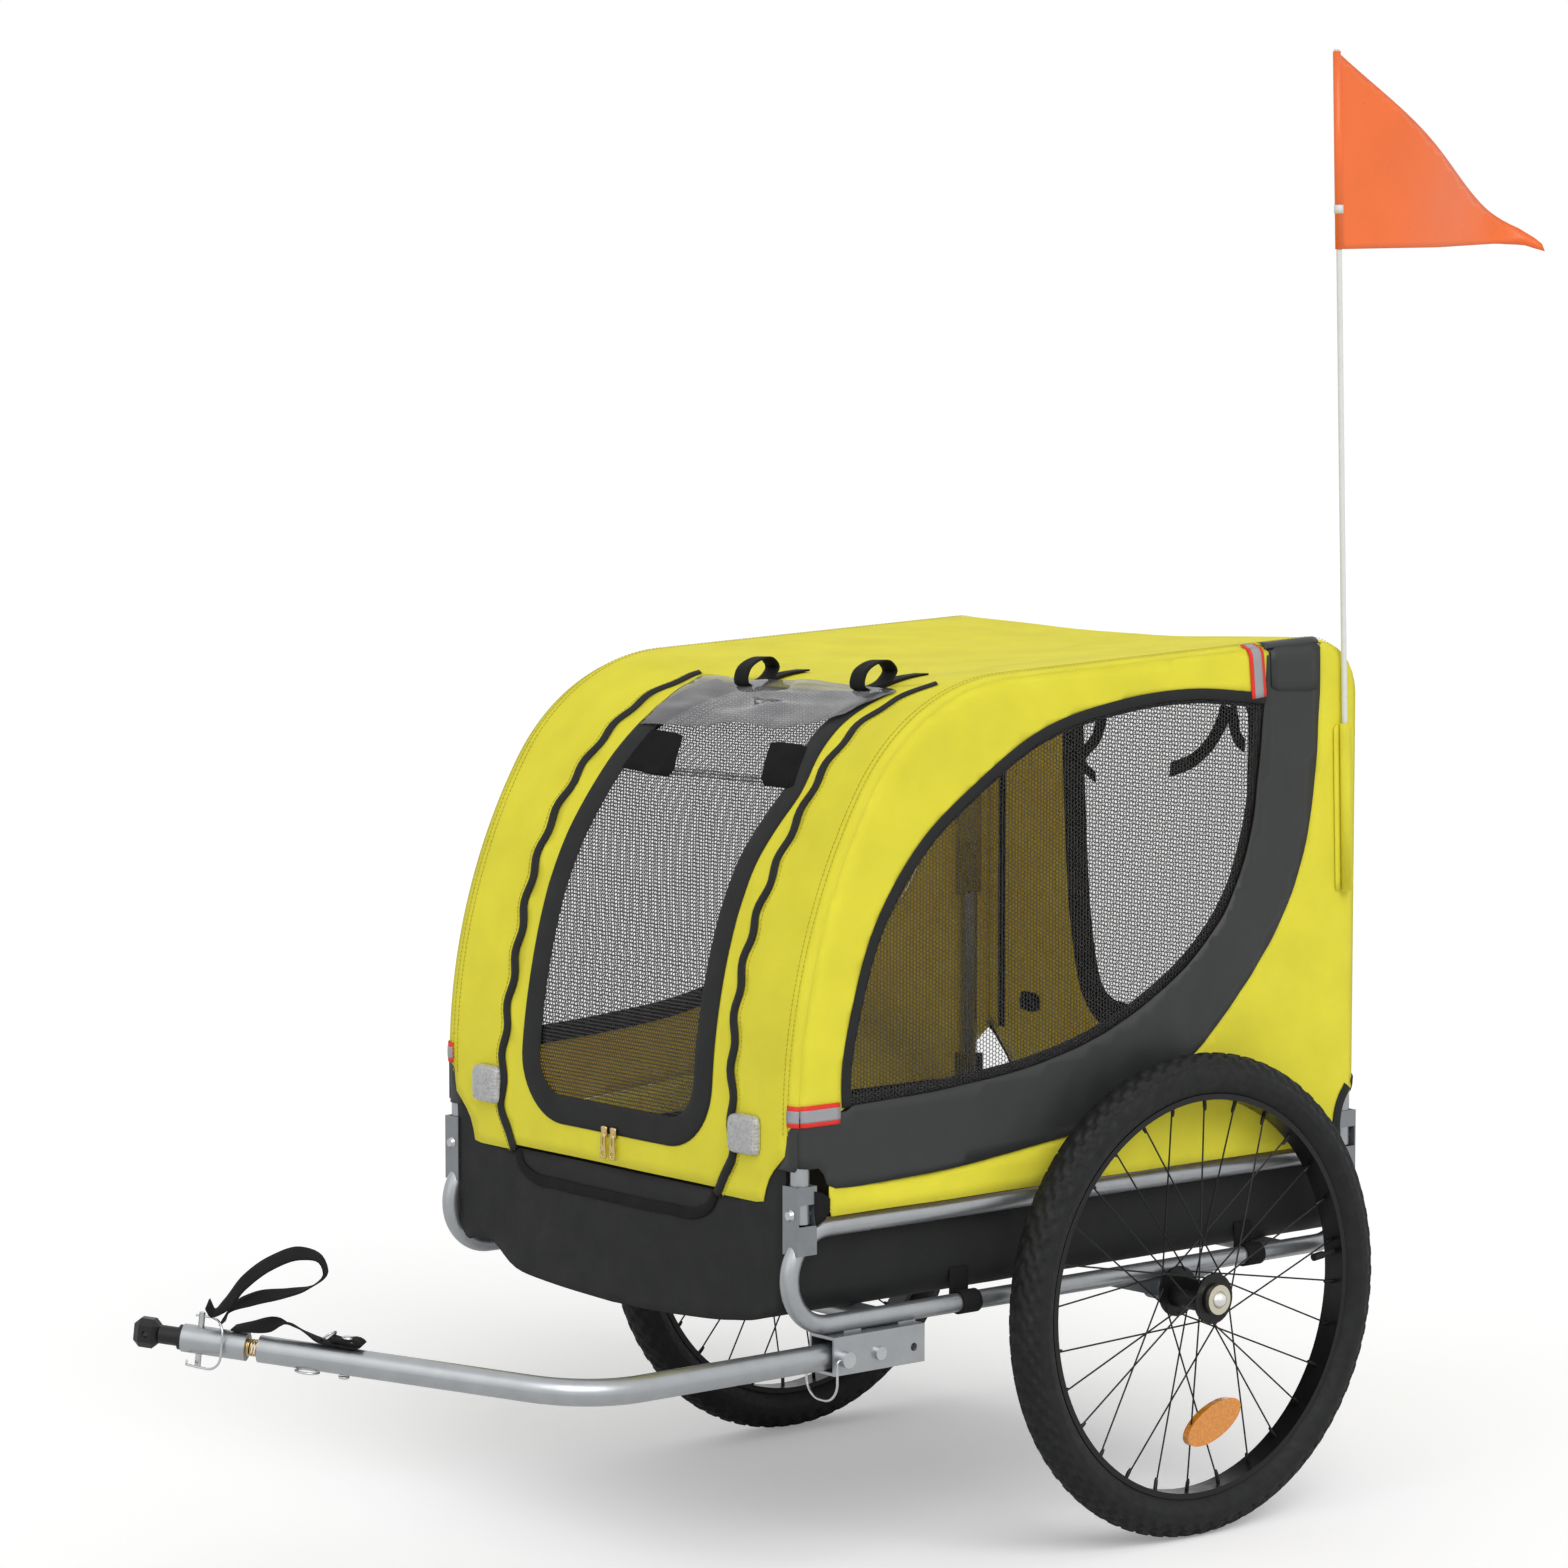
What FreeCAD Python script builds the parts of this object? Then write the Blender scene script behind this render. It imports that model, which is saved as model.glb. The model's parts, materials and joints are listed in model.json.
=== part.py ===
import FreeCAD, Part
import math
import os

# Dog bike trailer. Millimetres, +X towards the tow hitch, +Y to the trailer's left, +Z up.
# Every piece is drawn with the wheel axle at x = 0 and the ground at z = 0. At the end the
# whole model moves along X, so that the origin lies in the middle of its length.

Vector = FreeCAD.Vector
ALONG_X = Vector(1, 0, 0)
ALONG_Y = Vector(0, 1, 0)
ALONG_Z = Vector(0, 0, 1)

# Wheels
wheel_radius = 250.0
tyre_section = 45.0
tyre_wall = 3.0
tyre_opening = 16.0
wheel_offset = 46.0
rim_width = 26.0
rim_wall = 2.0
rim_depth = 6.0
rim_seat_overlap = 4.0
rim_fit = 0.1
spoke_count = 28
spoke_diameter = 1.8
spoke_sweep_deg = 62.0
spoke_stagger = 1.3
spoke_phase_deg = 3.0
flange_radius = 26.0
flange_thickness = 3.0
flange_spacing = 52.0
spoke_circle_radius = 22.5
hub_radius = 16.0
hub_end_length = 4.0
hub_bore_radius = 9.0
bearing_width = 8.0
bearing_outer_radius = 13.0
axle_radius = 6.0
running_fit = 0.05
axle_collar_radius = 15.3
axle_collar_length = 5.0
axle_collar_gap = 0.3
button_radius = 8.8
button_proud = 6.5
button_stem_radius = 4.0
button_stem_length = 18.0
button_travel = 3.5
button_fit = 0.1
button_bore_spare = 1.0
valve_radius = 3.0
valve_stem_length = 16.5
valve_cap_radius = 4.0
valve_cap_length = 13.5
valve_angle_deg = 174.0
reflector_length = 80.0
reflector_height = 36.0
reflector_thickness = 8.0
reflector_reach = 134.0
reflector_angle_deg = 263.0
right_reflector_turn_deg = 180.0
reflector_tilt_deg = 22.0

# Side loops, cross tubes and axle mounts
loop_half_width = 281.0
frame_tube = 19.0
frame_tube_wall = 1.5
rail_above_axle = 21.0
rail_spacing = 96.0
loop_overhang = 13.0
cross_tube_front_x = 392.0
cross_tube_rear_x = -170.0
axle_socket_radius = 12.5
axle_socket_depth = 19.0
axle_socket_gap = 1.5
gusset_half_length = 95.0
gusset_thickness = 4.0
gusset_drop = 6.0

# Folding arches and their brackets
arch_front_x = 489.0
arch_rear_left_x = -258.0
arch_rear_right_x = -228.0
arch_tube = 19.0
arch_tube_wall = 1.5
pivot_above_rail = 16.0
arch_tail = 9.0
arch_straight_length = 87.0
arch_lower_radius = 588.0
arch_lower_turn_deg = 32.0
arch_upper_radius = 218.0
roof_slope_deg = 2.7
arch_rear_radius = 50.0
bracket_depth = 24.0
bracket_width = 23.0
bracket_wall = 1.6
bracket_below_pivot = 39.0
bracket_above_pivot = 28.0
window_clearance = 1.5
pivot_bolt_radius = 3.0
pivot_head_radius = 6.0
pivot_crown_radius = 4.2
pivot_head_height = 3.2
pivot_nut_radius = 5.0
pivot_nut_height = 4.5
pivot_bolt_end = 2.0

# Tow bar, receiver and hitch
receiver_size = 38.0
receiver_wall = 3.0
receiver_front_x = 461.0
receiver_rear_x = 345.0
receiver_weld_gap = 0.5
receiver_weld_length = 22.0
tow_tube = 26.0
tow_tube_wall = 2.0
tow_bend_x = 744.0
tow_bend_radius = 130.0
tow_seat_gap = 0.05
tow_tail_inset = 6.0
hitch_x = 1031.0
hitch_y = -54.0
hitch_z = 287.0
head_length = 25.0
head_width = 22.0
head_height = 28.0
head_chamfer = 6.0
head_bore = 6.4
stem_length = 23.0
stem_diameter = 18.0
collar_diameter = 24.0
collar_length = 4.0
sleeve_length = 63.0
sleeve_diameter = 27.0
sleeve_end_wall = 6.0
spring_length = 12.0
spring_diameter = 17.0
spring_wire = 1.6
spring_turns = 4
spring_seat_length = 2.4
coupler_pin_diameter = 6.0
coupler_pin_length = 54.0
coupler_pin_from_mouth = 16.0
coupler_eye_inset = 3.6
wire_diameter = 2.4
pin_fit = 0.1
receiver_pin_diameter = 8.0
receiver_pin_x = 449.0
receiver_bolt_x = 404.0
receiver_spare_x = 359.0
receiver_bolt_diameter = 8.0
receiver_head_radius = 8.0
receiver_bolt_head_radius = 6.5
receiver_head_height = 4.0
pin_end_length = 9.0
ring_clearance = 4.0
ring_drop = 42.0
ring_bend_radius = 3.6
receiver_ring_radius = 20.0
coupler_ring_radius = 14.0
ring_start_length = 9.3
ring_back_length = 26.5
ring_tail_near = 8.8
ring_tail_far = 7.0
ring_tail_ahead = 8.6
ring_tip_ahead = 12.9
strap_width = 20.0
strap_thickness = 1.6
strap_gap = 0.4
strap_run = 78.0
strap_loop_length = 78.0
strap_loop_height = 84.0
strap_tail = 28.0
strap_loop_start = 15.6
loop_bend_share = 0.35
loop_top_share = 0.82
loop_end_rise = 0.75
loop_low_rise = 0.45
loop_foot_rise = 0.35
strap_anchor_length = 22.0
strap_anchor_height = 8.0
anchor_rivet_radius = 3.0
anchor_rivet_head = 5.5
anchor_rivet_height = 1.6

# Fabric tub and floor
tub_fabric = 2.0
tub_top_drop = 1.0
tub_bottom_drop = 15.0
tub_shoulder_rise = 29.0
tub_floor_half_width = 170.0
tub_gap = 0.3
tub_hole_gap = 0.5
floor_board_thickness = 4.0
floor_board_gap = 0.3
floor_board_margin = 14.0
band_width = 24.0
band_thickness = 2.0
band_gap = 0.3
band_places = (262.0, -136.0)

# Fabric cover
cover_fabric = 1.5
cover_gap = 0.5
cover_bottom_rise = 1.0
side_bottom_rise = 12.0
cutout_margin = 9.0
cutout_height = 20.0
door_half_width = 172.0
door_bottom_rise = 21.0
door_top_x = 238.0
door_gap = 0.5
door_window_half_width = 118.0
door_window_rise = 101.0
door_window_top_x = 262.0
rear_window_half_width = 150.0
rear_window_rise = 103.0
rear_window_height = 380.0
side_window_rise = 128.0
side_window_height = 361.0
side_window_front_x = 433.0
side_window_rear_x = -108.0
front_reflector_y = 213.0
front_reflector_rise = 87.0
front_reflector_width = 44.0
front_reflector_height = 40.0
front_reflector_depth = 10.0
zip_slider_width = 8.0
zip_slider_height = 24.0
zip_slider_depth = 3.0
zip_slider_spacing = 14.0
zip_slider_rise = 49.0
carry_loop_spread = 94.0
carry_loop_middle_y = 64.0
carry_loop_x = 256.0
carry_loop_radius = 20.0
carry_loop_width = 25.0
carry_loop_thickness = 2.0

# Safety flag
pole_diameter = 6.0
pole_x = -247.0
pole_bottom_rise = 283.0
pole_length = 877.0
pole_lean_deg = 1.8
pocket_length = 175.0
pocket_wall = 1.5
pocket_fit = 0.25
pocket_gap = 0.3
flag_hoist = 204.0
flag_fly = 318.0
flag_thickness = 1.2
flag_sleeve_wall = 0.8
flag_top_gap = 2.0
flag_tip_drop = 14.0
flag_lower_share = 0.85

# Places that follow from the sizes above: heights above the ground, and the wheels beside the loops
hub_length = flange_spacing + 2 * hub_end_length
wheel_middle_y = loop_half_width + wheel_offset
axle_socket_inner_y = loop_half_width - axle_socket_depth
rail_low_z = wheel_radius + rail_above_axle
rail_high_z = rail_low_z + rail_spacing
pivot_z = rail_high_z + pivot_above_rail
arch_straight_top_z = pivot_z + arch_straight_length
bracket_bottom_z = pivot_z - bracket_below_pivot
bracket_top_z = pivot_z + bracket_above_pivot
tub_top_z = rail_high_z - tub_top_drop
tub_bottom_z = rail_low_z - tub_bottom_drop
tub_shoulder_z = rail_low_z + tub_shoulder_rise
cover_bottom_z = rail_high_z + cover_bottom_rise
side_bottom_z = rail_high_z + side_bottom_rise
door_bottom_z = rail_high_z + door_bottom_rise
door_window_bottom_z = rail_high_z + door_window_rise
rear_window_bottom_z = rail_high_z + rear_window_rise
rear_window_top_z = rear_window_bottom_z + rear_window_height
side_window_bottom_z = rail_high_z + side_window_rise
side_window_top_z = side_window_bottom_z + side_window_height
front_reflector_z = rail_high_z + front_reflector_rise
zip_slider_z = rail_high_z + zip_slider_rise
pole_bottom_z = rail_high_z + pole_bottom_rise
pole_top_z = pole_bottom_z + pole_length

os.makedirs("parts", exist_ok=True)


def turn(shape, centre, axis, degrees):
    shape.rotate(centre, axis, degrees)
    return shape


def box(x0, y0, z0, x1, y1, z1):
    return Part.makeBox(x1 - x0, y1 - y0, z1 - z0, Vector(x0, y0, z0))


def ring(outer, inner, length, base, axis):
    bore = Part.makeCylinder(inner, length, base, axis)
    return Part.makeCylinder(outer, length, base, axis).cut(bore)


def mirrored(shape):
    return shape.mirror(Vector(0, 0, 0), ALONG_Y)


def group(shapes):
    solids = []
    for shape in shapes:
        solids.extend(shape.Solids)
    return Part.makeCompound(solids)


def prism(points, direction):
    return Part.Face(Part.makePolygon(points + points[:1])).extrude(direction)


def swept_round(wire, diameter):
    edge = wire.Edges[0]
    start = edge.valueAt(edge.FirstParameter)
    heading = edge.tangentAt(edge.FirstParameter)
    circle = Part.Wire([Part.makeCircle(diameter / 2, start, heading)])
    return wire.makePipeShell([circle], True, True)


def swept_tube(wire, diameter, wall):
    return swept_round(wire, diameter).cut(swept_round(wire, diameter - 2 * wall))


def arc_edge(centre, radius, first_deg, last_deg, y):
    points = []
    for share in (0.0, 0.5, 1.0):
        angle = math.radians(first_deg + share * (last_deg - first_deg))
        points.append(Vector(centre[0] + radius * math.cos(angle), y, centre[1] + radius * math.sin(angle)))
    return Part.Arc(*points).toShape()


def line_edge(start, end):
    return Part.LineSegment(start, end).toShape()


def end_of(edge):
    return edge.valueAt(edge.LastParameter)


def start_of(edge):
    return edge.valueAt(edge.FirstParameter)


# Arch line: front upright, two arcs over the front, sloping roof rail, rear corner, rear upright
def arch_edges(rear_x, outset, bottom_z, y):
    front_x = arch_front_x + outset
    rear = rear_x - outset
    lower = arch_lower_radius + outset
    upper = arch_upper_radius + outset
    corner = arch_rear_radius + outset
    lower_centre = (front_x - lower, arch_straight_top_z)
    split = math.radians(arch_lower_turn_deg)
    upper_centre = (lower_centre[0] + (lower - upper) * math.cos(split),
                    lower_centre[1] + (lower - upper) * math.sin(split))
    slope = math.radians(roof_slope_deg)
    front_arc = arc_edge(lower_centre, lower, 0, arch_lower_turn_deg, y)
    top_arc = arc_edge(upper_centre, upper, arch_lower_turn_deg, 90 - roof_slope_deg, y)
    roof_start = end_of(top_arc)
    corner_x = rear + corner
    run = (roof_start.x - corner * math.sin(slope) - corner_x) / math.cos(slope)
    roof_end = Vector(roof_start.x - run * math.cos(slope), y, roof_start.z + run * math.sin(slope))
    corner_centre = (corner_x, roof_end.z - corner * math.cos(slope))
    corner_arc = arc_edge(corner_centre, corner, 90 - roof_slope_deg, 180, y)
    return [
        line_edge(Vector(front_x, y, bottom_z), start_of(front_arc)),
        front_arc,
        top_arc,
        line_edge(roof_start, roof_end),
        corner_arc,
        line_edge(end_of(corner_arc), Vector(rear, y, bottom_z)),
    ]


def arch(rear_x, y):
    wire = Part.Wire(arch_edges(rear_x, 0, pivot_z - arch_tail, y))
    tube = swept_tube(wire, arch_tube, arch_tube_wall)
    for x in (arch_front_x, rear_x):
        start = Vector(x - arch_tube, y, pivot_z)
        tube = tube.cut(Part.makeCylinder(pivot_bolt_radius + running_fit, 2 * arch_tube, start, ALONG_X))
    return tube


# Side loops: two rails joined by half circles, one under each arch
loop_radius = (rail_high_z - rail_low_z) / 2
loop_middle_z = (rail_high_z + rail_low_z) / 2


def loop_wire(rear_x, y):
    front = arch_front_x + loop_overhang - loop_radius
    rear = rear_x - loop_overhang + loop_radius
    return Part.Wire([
        line_edge(Vector(rear, y, rail_low_z), Vector(front, y, rail_low_z)),
        arc_edge((front, loop_middle_z), loop_radius, -90, 90, y),
        line_edge(Vector(front, y, rail_high_z), Vector(rear, y, rail_high_z)),
        arc_edge((rear, loop_middle_z), loop_radius, 90, 270, y),
    ])


def cross_tube(x, loops):
    start = Vector(x, -loop_half_width, rail_low_z)
    outer = Part.makeCylinder(frame_tube / 2, 2 * loop_half_width, start, ALONG_Y)
    bore = Part.makeCylinder(frame_tube / 2 - frame_tube_wall, 2 * loop_half_width, start, ALONG_Y)
    tube = outer.cut(bore)
    for loop in loops:
        tube = tube.cut(loop)
    return max(tube.Solids, key=lambda solid: solid.Volume)


# Bracket: a channel open towards the middle, with a window that lets the upright's tail swing out
window_half_height = arch_tail + window_clearance


def bracket(x, loop_solid):
    half_depth = bracket_depth / 2
    outer_y = loop_half_width + bracket_width / 2
    inner_y = loop_half_width - bracket_width / 2
    channel = box(x - half_depth, inner_y, bracket_bottom_z, x + half_depth, outer_y, bracket_top_z)
    hollow = box(x - half_depth + bracket_wall, inner_y, bracket_bottom_z,
                 x + half_depth - bracket_wall, outer_y - bracket_wall, bracket_top_z)
    window = box(x - half_depth + bracket_wall, inner_y, pivot_z - window_half_height,
                 x + half_depth - bracket_wall, outer_y, pivot_z + window_half_height)
    hole_start = Vector(x - bracket_depth, loop_half_width, pivot_z)
    hole = Part.makeCylinder(pivot_bolt_radius, 2 * bracket_depth, hole_start, ALONG_X)
    shape = channel.cut(hollow).cut(window).cut(hole).cut(loop_solid)
    return max(shape.Solids, key=lambda solid: solid.BoundBox.ZMax)


def pivot_bolt(x, y):
    half_depth = bracket_depth / 2
    shank_length = bracket_depth + pivot_nut_height + pivot_bolt_end
    shank_start = Vector(x + half_depth, y, pivot_z)
    shank = Part.makeCylinder(pivot_bolt_radius, shank_length, shank_start, -ALONG_X)
    head = Part.makeCone(pivot_head_radius, pivot_crown_radius, pivot_head_height, shank_start, ALONG_X)
    nut_start = Vector(x - half_depth, y, pivot_z)
    nut = hexagon(pivot_nut_radius, pivot_nut_height, nut_start, -ALONG_X)
    nut = nut.cut(Part.makeCylinder(pivot_bolt_radius, pivot_nut_height, nut_start, -ALONG_X))
    return [shank.fuse(head).removeSplitter(), nut]


def hexagon(radius, height, base, axis):
    points = []
    side = axis.cross(ALONG_Z)
    rise = axis.cross(side)
    for index in range(6):
        angle = math.radians(60 * index)
        points.append(base + side * (radius * math.cos(angle)) + rise * (radius * math.sin(angle)))
    return prism(points, axis * height)


# Axle mount: a socket tube under the lower rail with a three-cornered gusset plate
hub_inner_y = wheel_middle_y - hub_length / 2
hub_outer_y = wheel_middle_y + hub_length / 2


def axle_mount(loop_solid):
    socket_length = hub_inner_y - axle_socket_gap - axle_socket_inner_y
    start = Vector(0, axle_socket_inner_y, wheel_radius)
    socket = Part.makeCylinder(axle_socket_radius, socket_length, start, ALONG_Y)
    top_z = rail_low_z - frame_tube / 4
    low_z = wheel_radius - gusset_drop
    plate_y = loop_half_width - gusset_thickness / 2
    plate = prism([Vector(-gusset_half_length, plate_y, top_z), Vector(gusset_half_length, plate_y, top_z),
                   Vector(axle_socket_radius, plate_y, low_z), Vector(-axle_socket_radius, plate_y, low_z)],
                  Vector(0, gusset_thickness, 0))
    mount = socket.fuse(plate).cut(loop_solid)
    bore = Part.makeCylinder(axle_radius + running_fit, socket_length, start, ALONG_Y)
    mount = mount.cut(bore)
    return max(mount.Solids, key=lambda solid: solid.Volume)


def axle():
    collar_y = hub_outer_y + axle_collar_gap
    end_y = collar_y + axle_collar_length
    rod = Part.makeCylinder(axle_radius, end_y - axle_socket_inner_y,
                            Vector(0, axle_socket_inner_y, wheel_radius), ALONG_Y)
    collar_start = Vector(0, collar_y, wheel_radius)
    collar = Part.makeCylinder(axle_collar_radius, axle_collar_length, collar_start, ALONG_Y)
    stem_bore_length = button_stem_length + button_travel + button_bore_spare
    stem_bore = Part.makeCylinder(button_stem_radius + button_fit, stem_bore_length,
                                  Vector(0, end_y, wheel_radius), -ALONG_Y)
    dome_bore = Part.makeCylinder(button_radius + button_fit, button_travel,
                                  Vector(0, end_y, wheel_radius), -ALONG_Y)
    return rod.fuse(collar).cut(stem_bore).cut(dome_bore).removeSplitter()


def release_button():
    end_y = hub_outer_y + axle_collar_gap + axle_collar_length
    stem = Part.makeCylinder(button_stem_radius, button_stem_length, Vector(0, end_y, wheel_radius), -ALONG_Y)
    dome_centre = Vector(0, end_y + button_proud - button_radius, wheel_radius)
    dome = Part.makeSphere(button_radius, dome_centre)
    dome = dome.common(box(-button_radius, end_y, wheel_radius - button_radius,
                           button_radius, end_y + button_proud, wheel_radius + button_radius))
    return stem.fuse(dome).removeSplitter()


# Wheel pieces, about the wheel's middle plane
def wheel_ring(profile_face):
    return profile_face.revolve(Vector(0, wheel_middle_y, wheel_radius), ALONG_Y, 360)


def wheel_rectangle(low_radius, high_radius, low_y, high_y):
    corners = [Vector(low_radius, wheel_middle_y + low_y, wheel_radius),
               Vector(high_radius, wheel_middle_y + low_y, wheel_radius),
               Vector(high_radius, wheel_middle_y + high_y, wheel_radius),
               Vector(low_radius, wheel_middle_y + high_y, wheel_radius)]
    return wheel_ring(Part.Face(Part.makePolygon(corners + corners[:1])))


tyre_middle_radius = wheel_radius - tyre_section / 2
rim_seat_radius = wheel_radius - tyre_section + rim_seat_overlap
rim_inner_radius = rim_seat_radius - rim_depth


def tyre_torus(section):
    return Part.makeTorus(tyre_middle_radius, section / 2, Vector(0, wheel_middle_y, wheel_radius), ALONG_Y)


def tyre():
    casing = tyre_torus(tyre_section).cut(tyre_torus(tyre_section - 2 * tyre_wall))
    mouth = wheel_rectangle(rim_inner_radius, tyre_middle_radius, -tyre_opening / 2, tyre_opening / 2)
    return casing.cut(mouth)


def rim():
    half = rim_width / 2
    body = wheel_rectangle(rim_inner_radius, rim_seat_radius + rim_seat_overlap, -half, half)
    well = wheel_rectangle(rim_inner_radius + rim_wall, rim_seat_radius + 2 * rim_seat_overlap,
                           -half + rim_wall, half - rim_wall)
    return body.cut(well).cut(tyre_torus(tyre_section + 2 * rim_fit))


def wheel_point(radius, degrees, y):
    angle = math.radians(degrees)
    return Vector(radius * math.cos(angle), wheel_middle_y + y, wheel_radius + radius * math.sin(angle))


def spokes():
    shapes = []
    per_flange = spoke_count // 2
    step = 360.0 / per_flange
    for flange in (-1, 1):
        for index in range(per_flange):
            lead = 1 if index % 2 == 0 else -1
            rim_angle = spoke_phase_deg + index * step + (step / 2 if flange > 0 else 0)
            hub_angle = rim_angle + lead * spoke_sweep_deg
            start_y = flange * flange_spacing / 2 + lead * spoke_stagger
            start = wheel_point(spoke_circle_radius, hub_angle, start_y)
            end = wheel_point(rim_inner_radius + rim_wall / 2, rim_angle, 0)
            shapes.append(Part.makeCylinder(spoke_diameter / 2, (end - start).Length, start, end - start))
    return group(shapes)


def hub():
    centre = Vector(0, hub_inner_y, wheel_radius)
    shell = Part.makeCylinder(hub_radius, hub_length, centre, ALONG_Y)
    for side in (-1, 1):
        start_y = wheel_middle_y + side * flange_spacing / 2 - flange_thickness / 2
        flange = Part.makeCylinder(flange_radius, flange_thickness, Vector(0, start_y, wheel_radius), ALONG_Y)
        shell = shell.fuse(flange)
    shell = shell.cut(Part.makeCylinder(hub_bore_radius, hub_length, centre, ALONG_Y))
    for start_y in (hub_inner_y, hub_outer_y - bearing_width):
        seat = Vector(0, start_y, wheel_radius)
        shell = shell.cut(Part.makeCylinder(bearing_outer_radius, bearing_width, seat, ALONG_Y))
    return shell.removeSplitter()


def bearings():
    rings = []
    for start_y in (hub_inner_y, hub_outer_y - bearing_width):
        rings.append(ring(bearing_outer_radius, axle_radius + running_fit, bearing_width,
                          Vector(0, start_y, wheel_radius), ALONG_Y))
    return group(rings)


def valve():
    start = wheel_point(rim_inner_radius, valve_angle_deg, 0)
    inward = wheel_point(0, valve_angle_deg, 0) - start
    stem = Part.makeCylinder(valve_radius, valve_stem_length, start, inward)
    cap_start = start + inward.normalize() * valve_stem_length
    cap = Part.makeCylinder(valve_cap_radius, valve_cap_length, cap_start, inward)
    return stem.fuse(cap)


def wheel_reflector():
    spoke_y = flange_spacing / 2 * (1 - reflector_reach / rim_inner_radius)
    centre = wheel_point(reflector_reach, reflector_angle_deg, spoke_y - reflector_thickness / 2)
    ellipse = Part.Ellipse(Vector(0, 0, 0), reflector_length / 2, reflector_height / 2).toShape()
    disc = Part.Face(Part.Wire([ellipse])).extrude(Vector(0, 0, reflector_thickness))
    disc.rotate(Vector(0, 0, 0), ALONG_X, -90)
    disc.translate(centre)
    return turn(disc, centre, ALONG_Y, reflector_tilt_deg)


# Receiver under the left lower rail, and the tow bar in it
receiver_top_z = rail_low_z - frame_tube / 2 - receiver_weld_gap
receiver_bottom_z = receiver_top_z - receiver_size
tow_z = receiver_bottom_z + receiver_wall + tow_seat_gap + tow_tube / 2
receiver_near_y = loop_half_width + receiver_size / 2
receiver_far_y = loop_half_width - receiver_size / 2


def cross_pin_hole(x, diameter):
    start = Vector(x, receiver_far_y - receiver_size, tow_z)
    return Part.makeCylinder(diameter / 2, 3 * receiver_size, start, ALONG_Y)


def hitch_receiver(loop_solid):
    outer = box(receiver_rear_x, receiver_far_y, receiver_bottom_z,
                receiver_front_x, receiver_near_y, receiver_top_z)
    inner = box(receiver_rear_x, receiver_far_y + receiver_wall, receiver_bottom_z + receiver_wall,
                receiver_front_x, receiver_near_y - receiver_wall, receiver_top_z - receiver_wall)
    shape = outer.cut(inner)
    weld_height = receiver_weld_gap + frame_tube / 4
    for start_x in (receiver_rear_x, receiver_front_x - loop_radius / 2 - receiver_weld_length):
        weld = box(start_x, loop_half_width - frame_tube / 4, receiver_top_z, start_x + receiver_weld_length,
                   loop_half_width + frame_tube / 4, receiver_top_z + weld_height)
        shape = shape.fuse(weld.cut(loop_solid))
    for x in (receiver_bolt_x, receiver_spare_x, receiver_pin_x):
        shape = shape.cut(cross_pin_hole(x, receiver_bolt_diameter + 2 * pin_fit))
    return shape.removeSplitter()


def receiver_bolt():
    length = receiver_size + receiver_head_height
    start = Vector(receiver_bolt_x, receiver_near_y, tow_z)
    shank = Part.makeCylinder(receiver_bolt_diameter / 2, length, start, -ALONG_Y)
    head = Part.makeCylinder(receiver_bolt_head_radius, receiver_head_height, start, ALONG_Y)
    nut_start = Vector(receiver_bolt_x, receiver_far_y, tow_z)
    nut = hexagon(receiver_head_radius, receiver_head_height, nut_start, -ALONG_Y)
    nut = nut.cut(Part.makeCylinder(receiver_bolt_diameter / 2, receiver_head_height, nut_start, -ALONG_Y))
    return group([shank.fuse(head).removeSplitter(), nut])


def receiver_pin():
    start = Vector(receiver_pin_x, receiver_near_y, tow_z)
    length = receiver_size + pin_end_length
    shank = Part.makeCylinder(receiver_pin_diameter / 2, length, start, -ALONG_Y)
    head = Part.makeCylinder(receiver_head_radius, pin_end_length, start, ALONG_Y)
    pin = shank.fuse(head)
    eye_start = Vector(receiver_pin_x - 2 * receiver_head_radius, receiver_near_y + pin_end_length / 2, tow_z)
    eye = Part.makeCylinder(wire_diameter / 2 + pin_fit, 4 * receiver_head_radius, eye_start, ALONG_X)
    return pin.cut(eye)


def snap_ring(points, radii):
    return swept_round(rounded_path(points, radii), wire_diameter)


def rounded_path(points, radii):
    edges = []
    last = points[0]
    for index in range(1, len(points) - 1):
        corner = points[index]
        radius = radii[index - 1]
        to_last = (points[index - 1] - corner).normalize()
        to_next = (points[index + 1] - corner).normalize()
        half_turn = (math.pi - to_last.getAngle(to_next)) / 2
        setback = radius * math.tan(half_turn)
        middle_way = (to_last + to_next).normalize()
        middle = corner + middle_way * (radius / math.cos(half_turn) - radius)
        arc = Part.Arc(corner + to_last * setback, middle, corner + to_next * setback).toShape()
        edges.append(line_edge(last, start_of(arc)))
        edges.append(arc)
        last = end_of(arc)
    edges.append(line_edge(last, points[-1]))
    return Part.Wire(edges)


# The snap ring turns in the pin's head, passes under the receiver and clips the pin's far end from below
def receiver_ring():
    near_y = receiver_near_y + pin_end_length / 2
    far_y = receiver_far_y - pin_end_length / 2
    low_z = tow_z - ring_drop
    eye_x = receiver_pin_x - receiver_head_radius
    leg_x = receiver_pin_x + receiver_head_radius + ring_clearance
    clip_z = tow_z - (receiver_pin_diameter + wire_diameter) / 2 - pin_fit
    points = [Vector(eye_x, near_y, tow_z), Vector(leg_x, near_y, tow_z), Vector(leg_x, near_y, low_z),
              Vector(leg_x, far_y, low_z), Vector(leg_x, far_y, clip_z), Vector(eye_x, far_y, clip_z)]
    tight = ring_bend_radius
    return snap_ring(points, [tight, receiver_ring_radius, receiver_ring_radius, tight])


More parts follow.
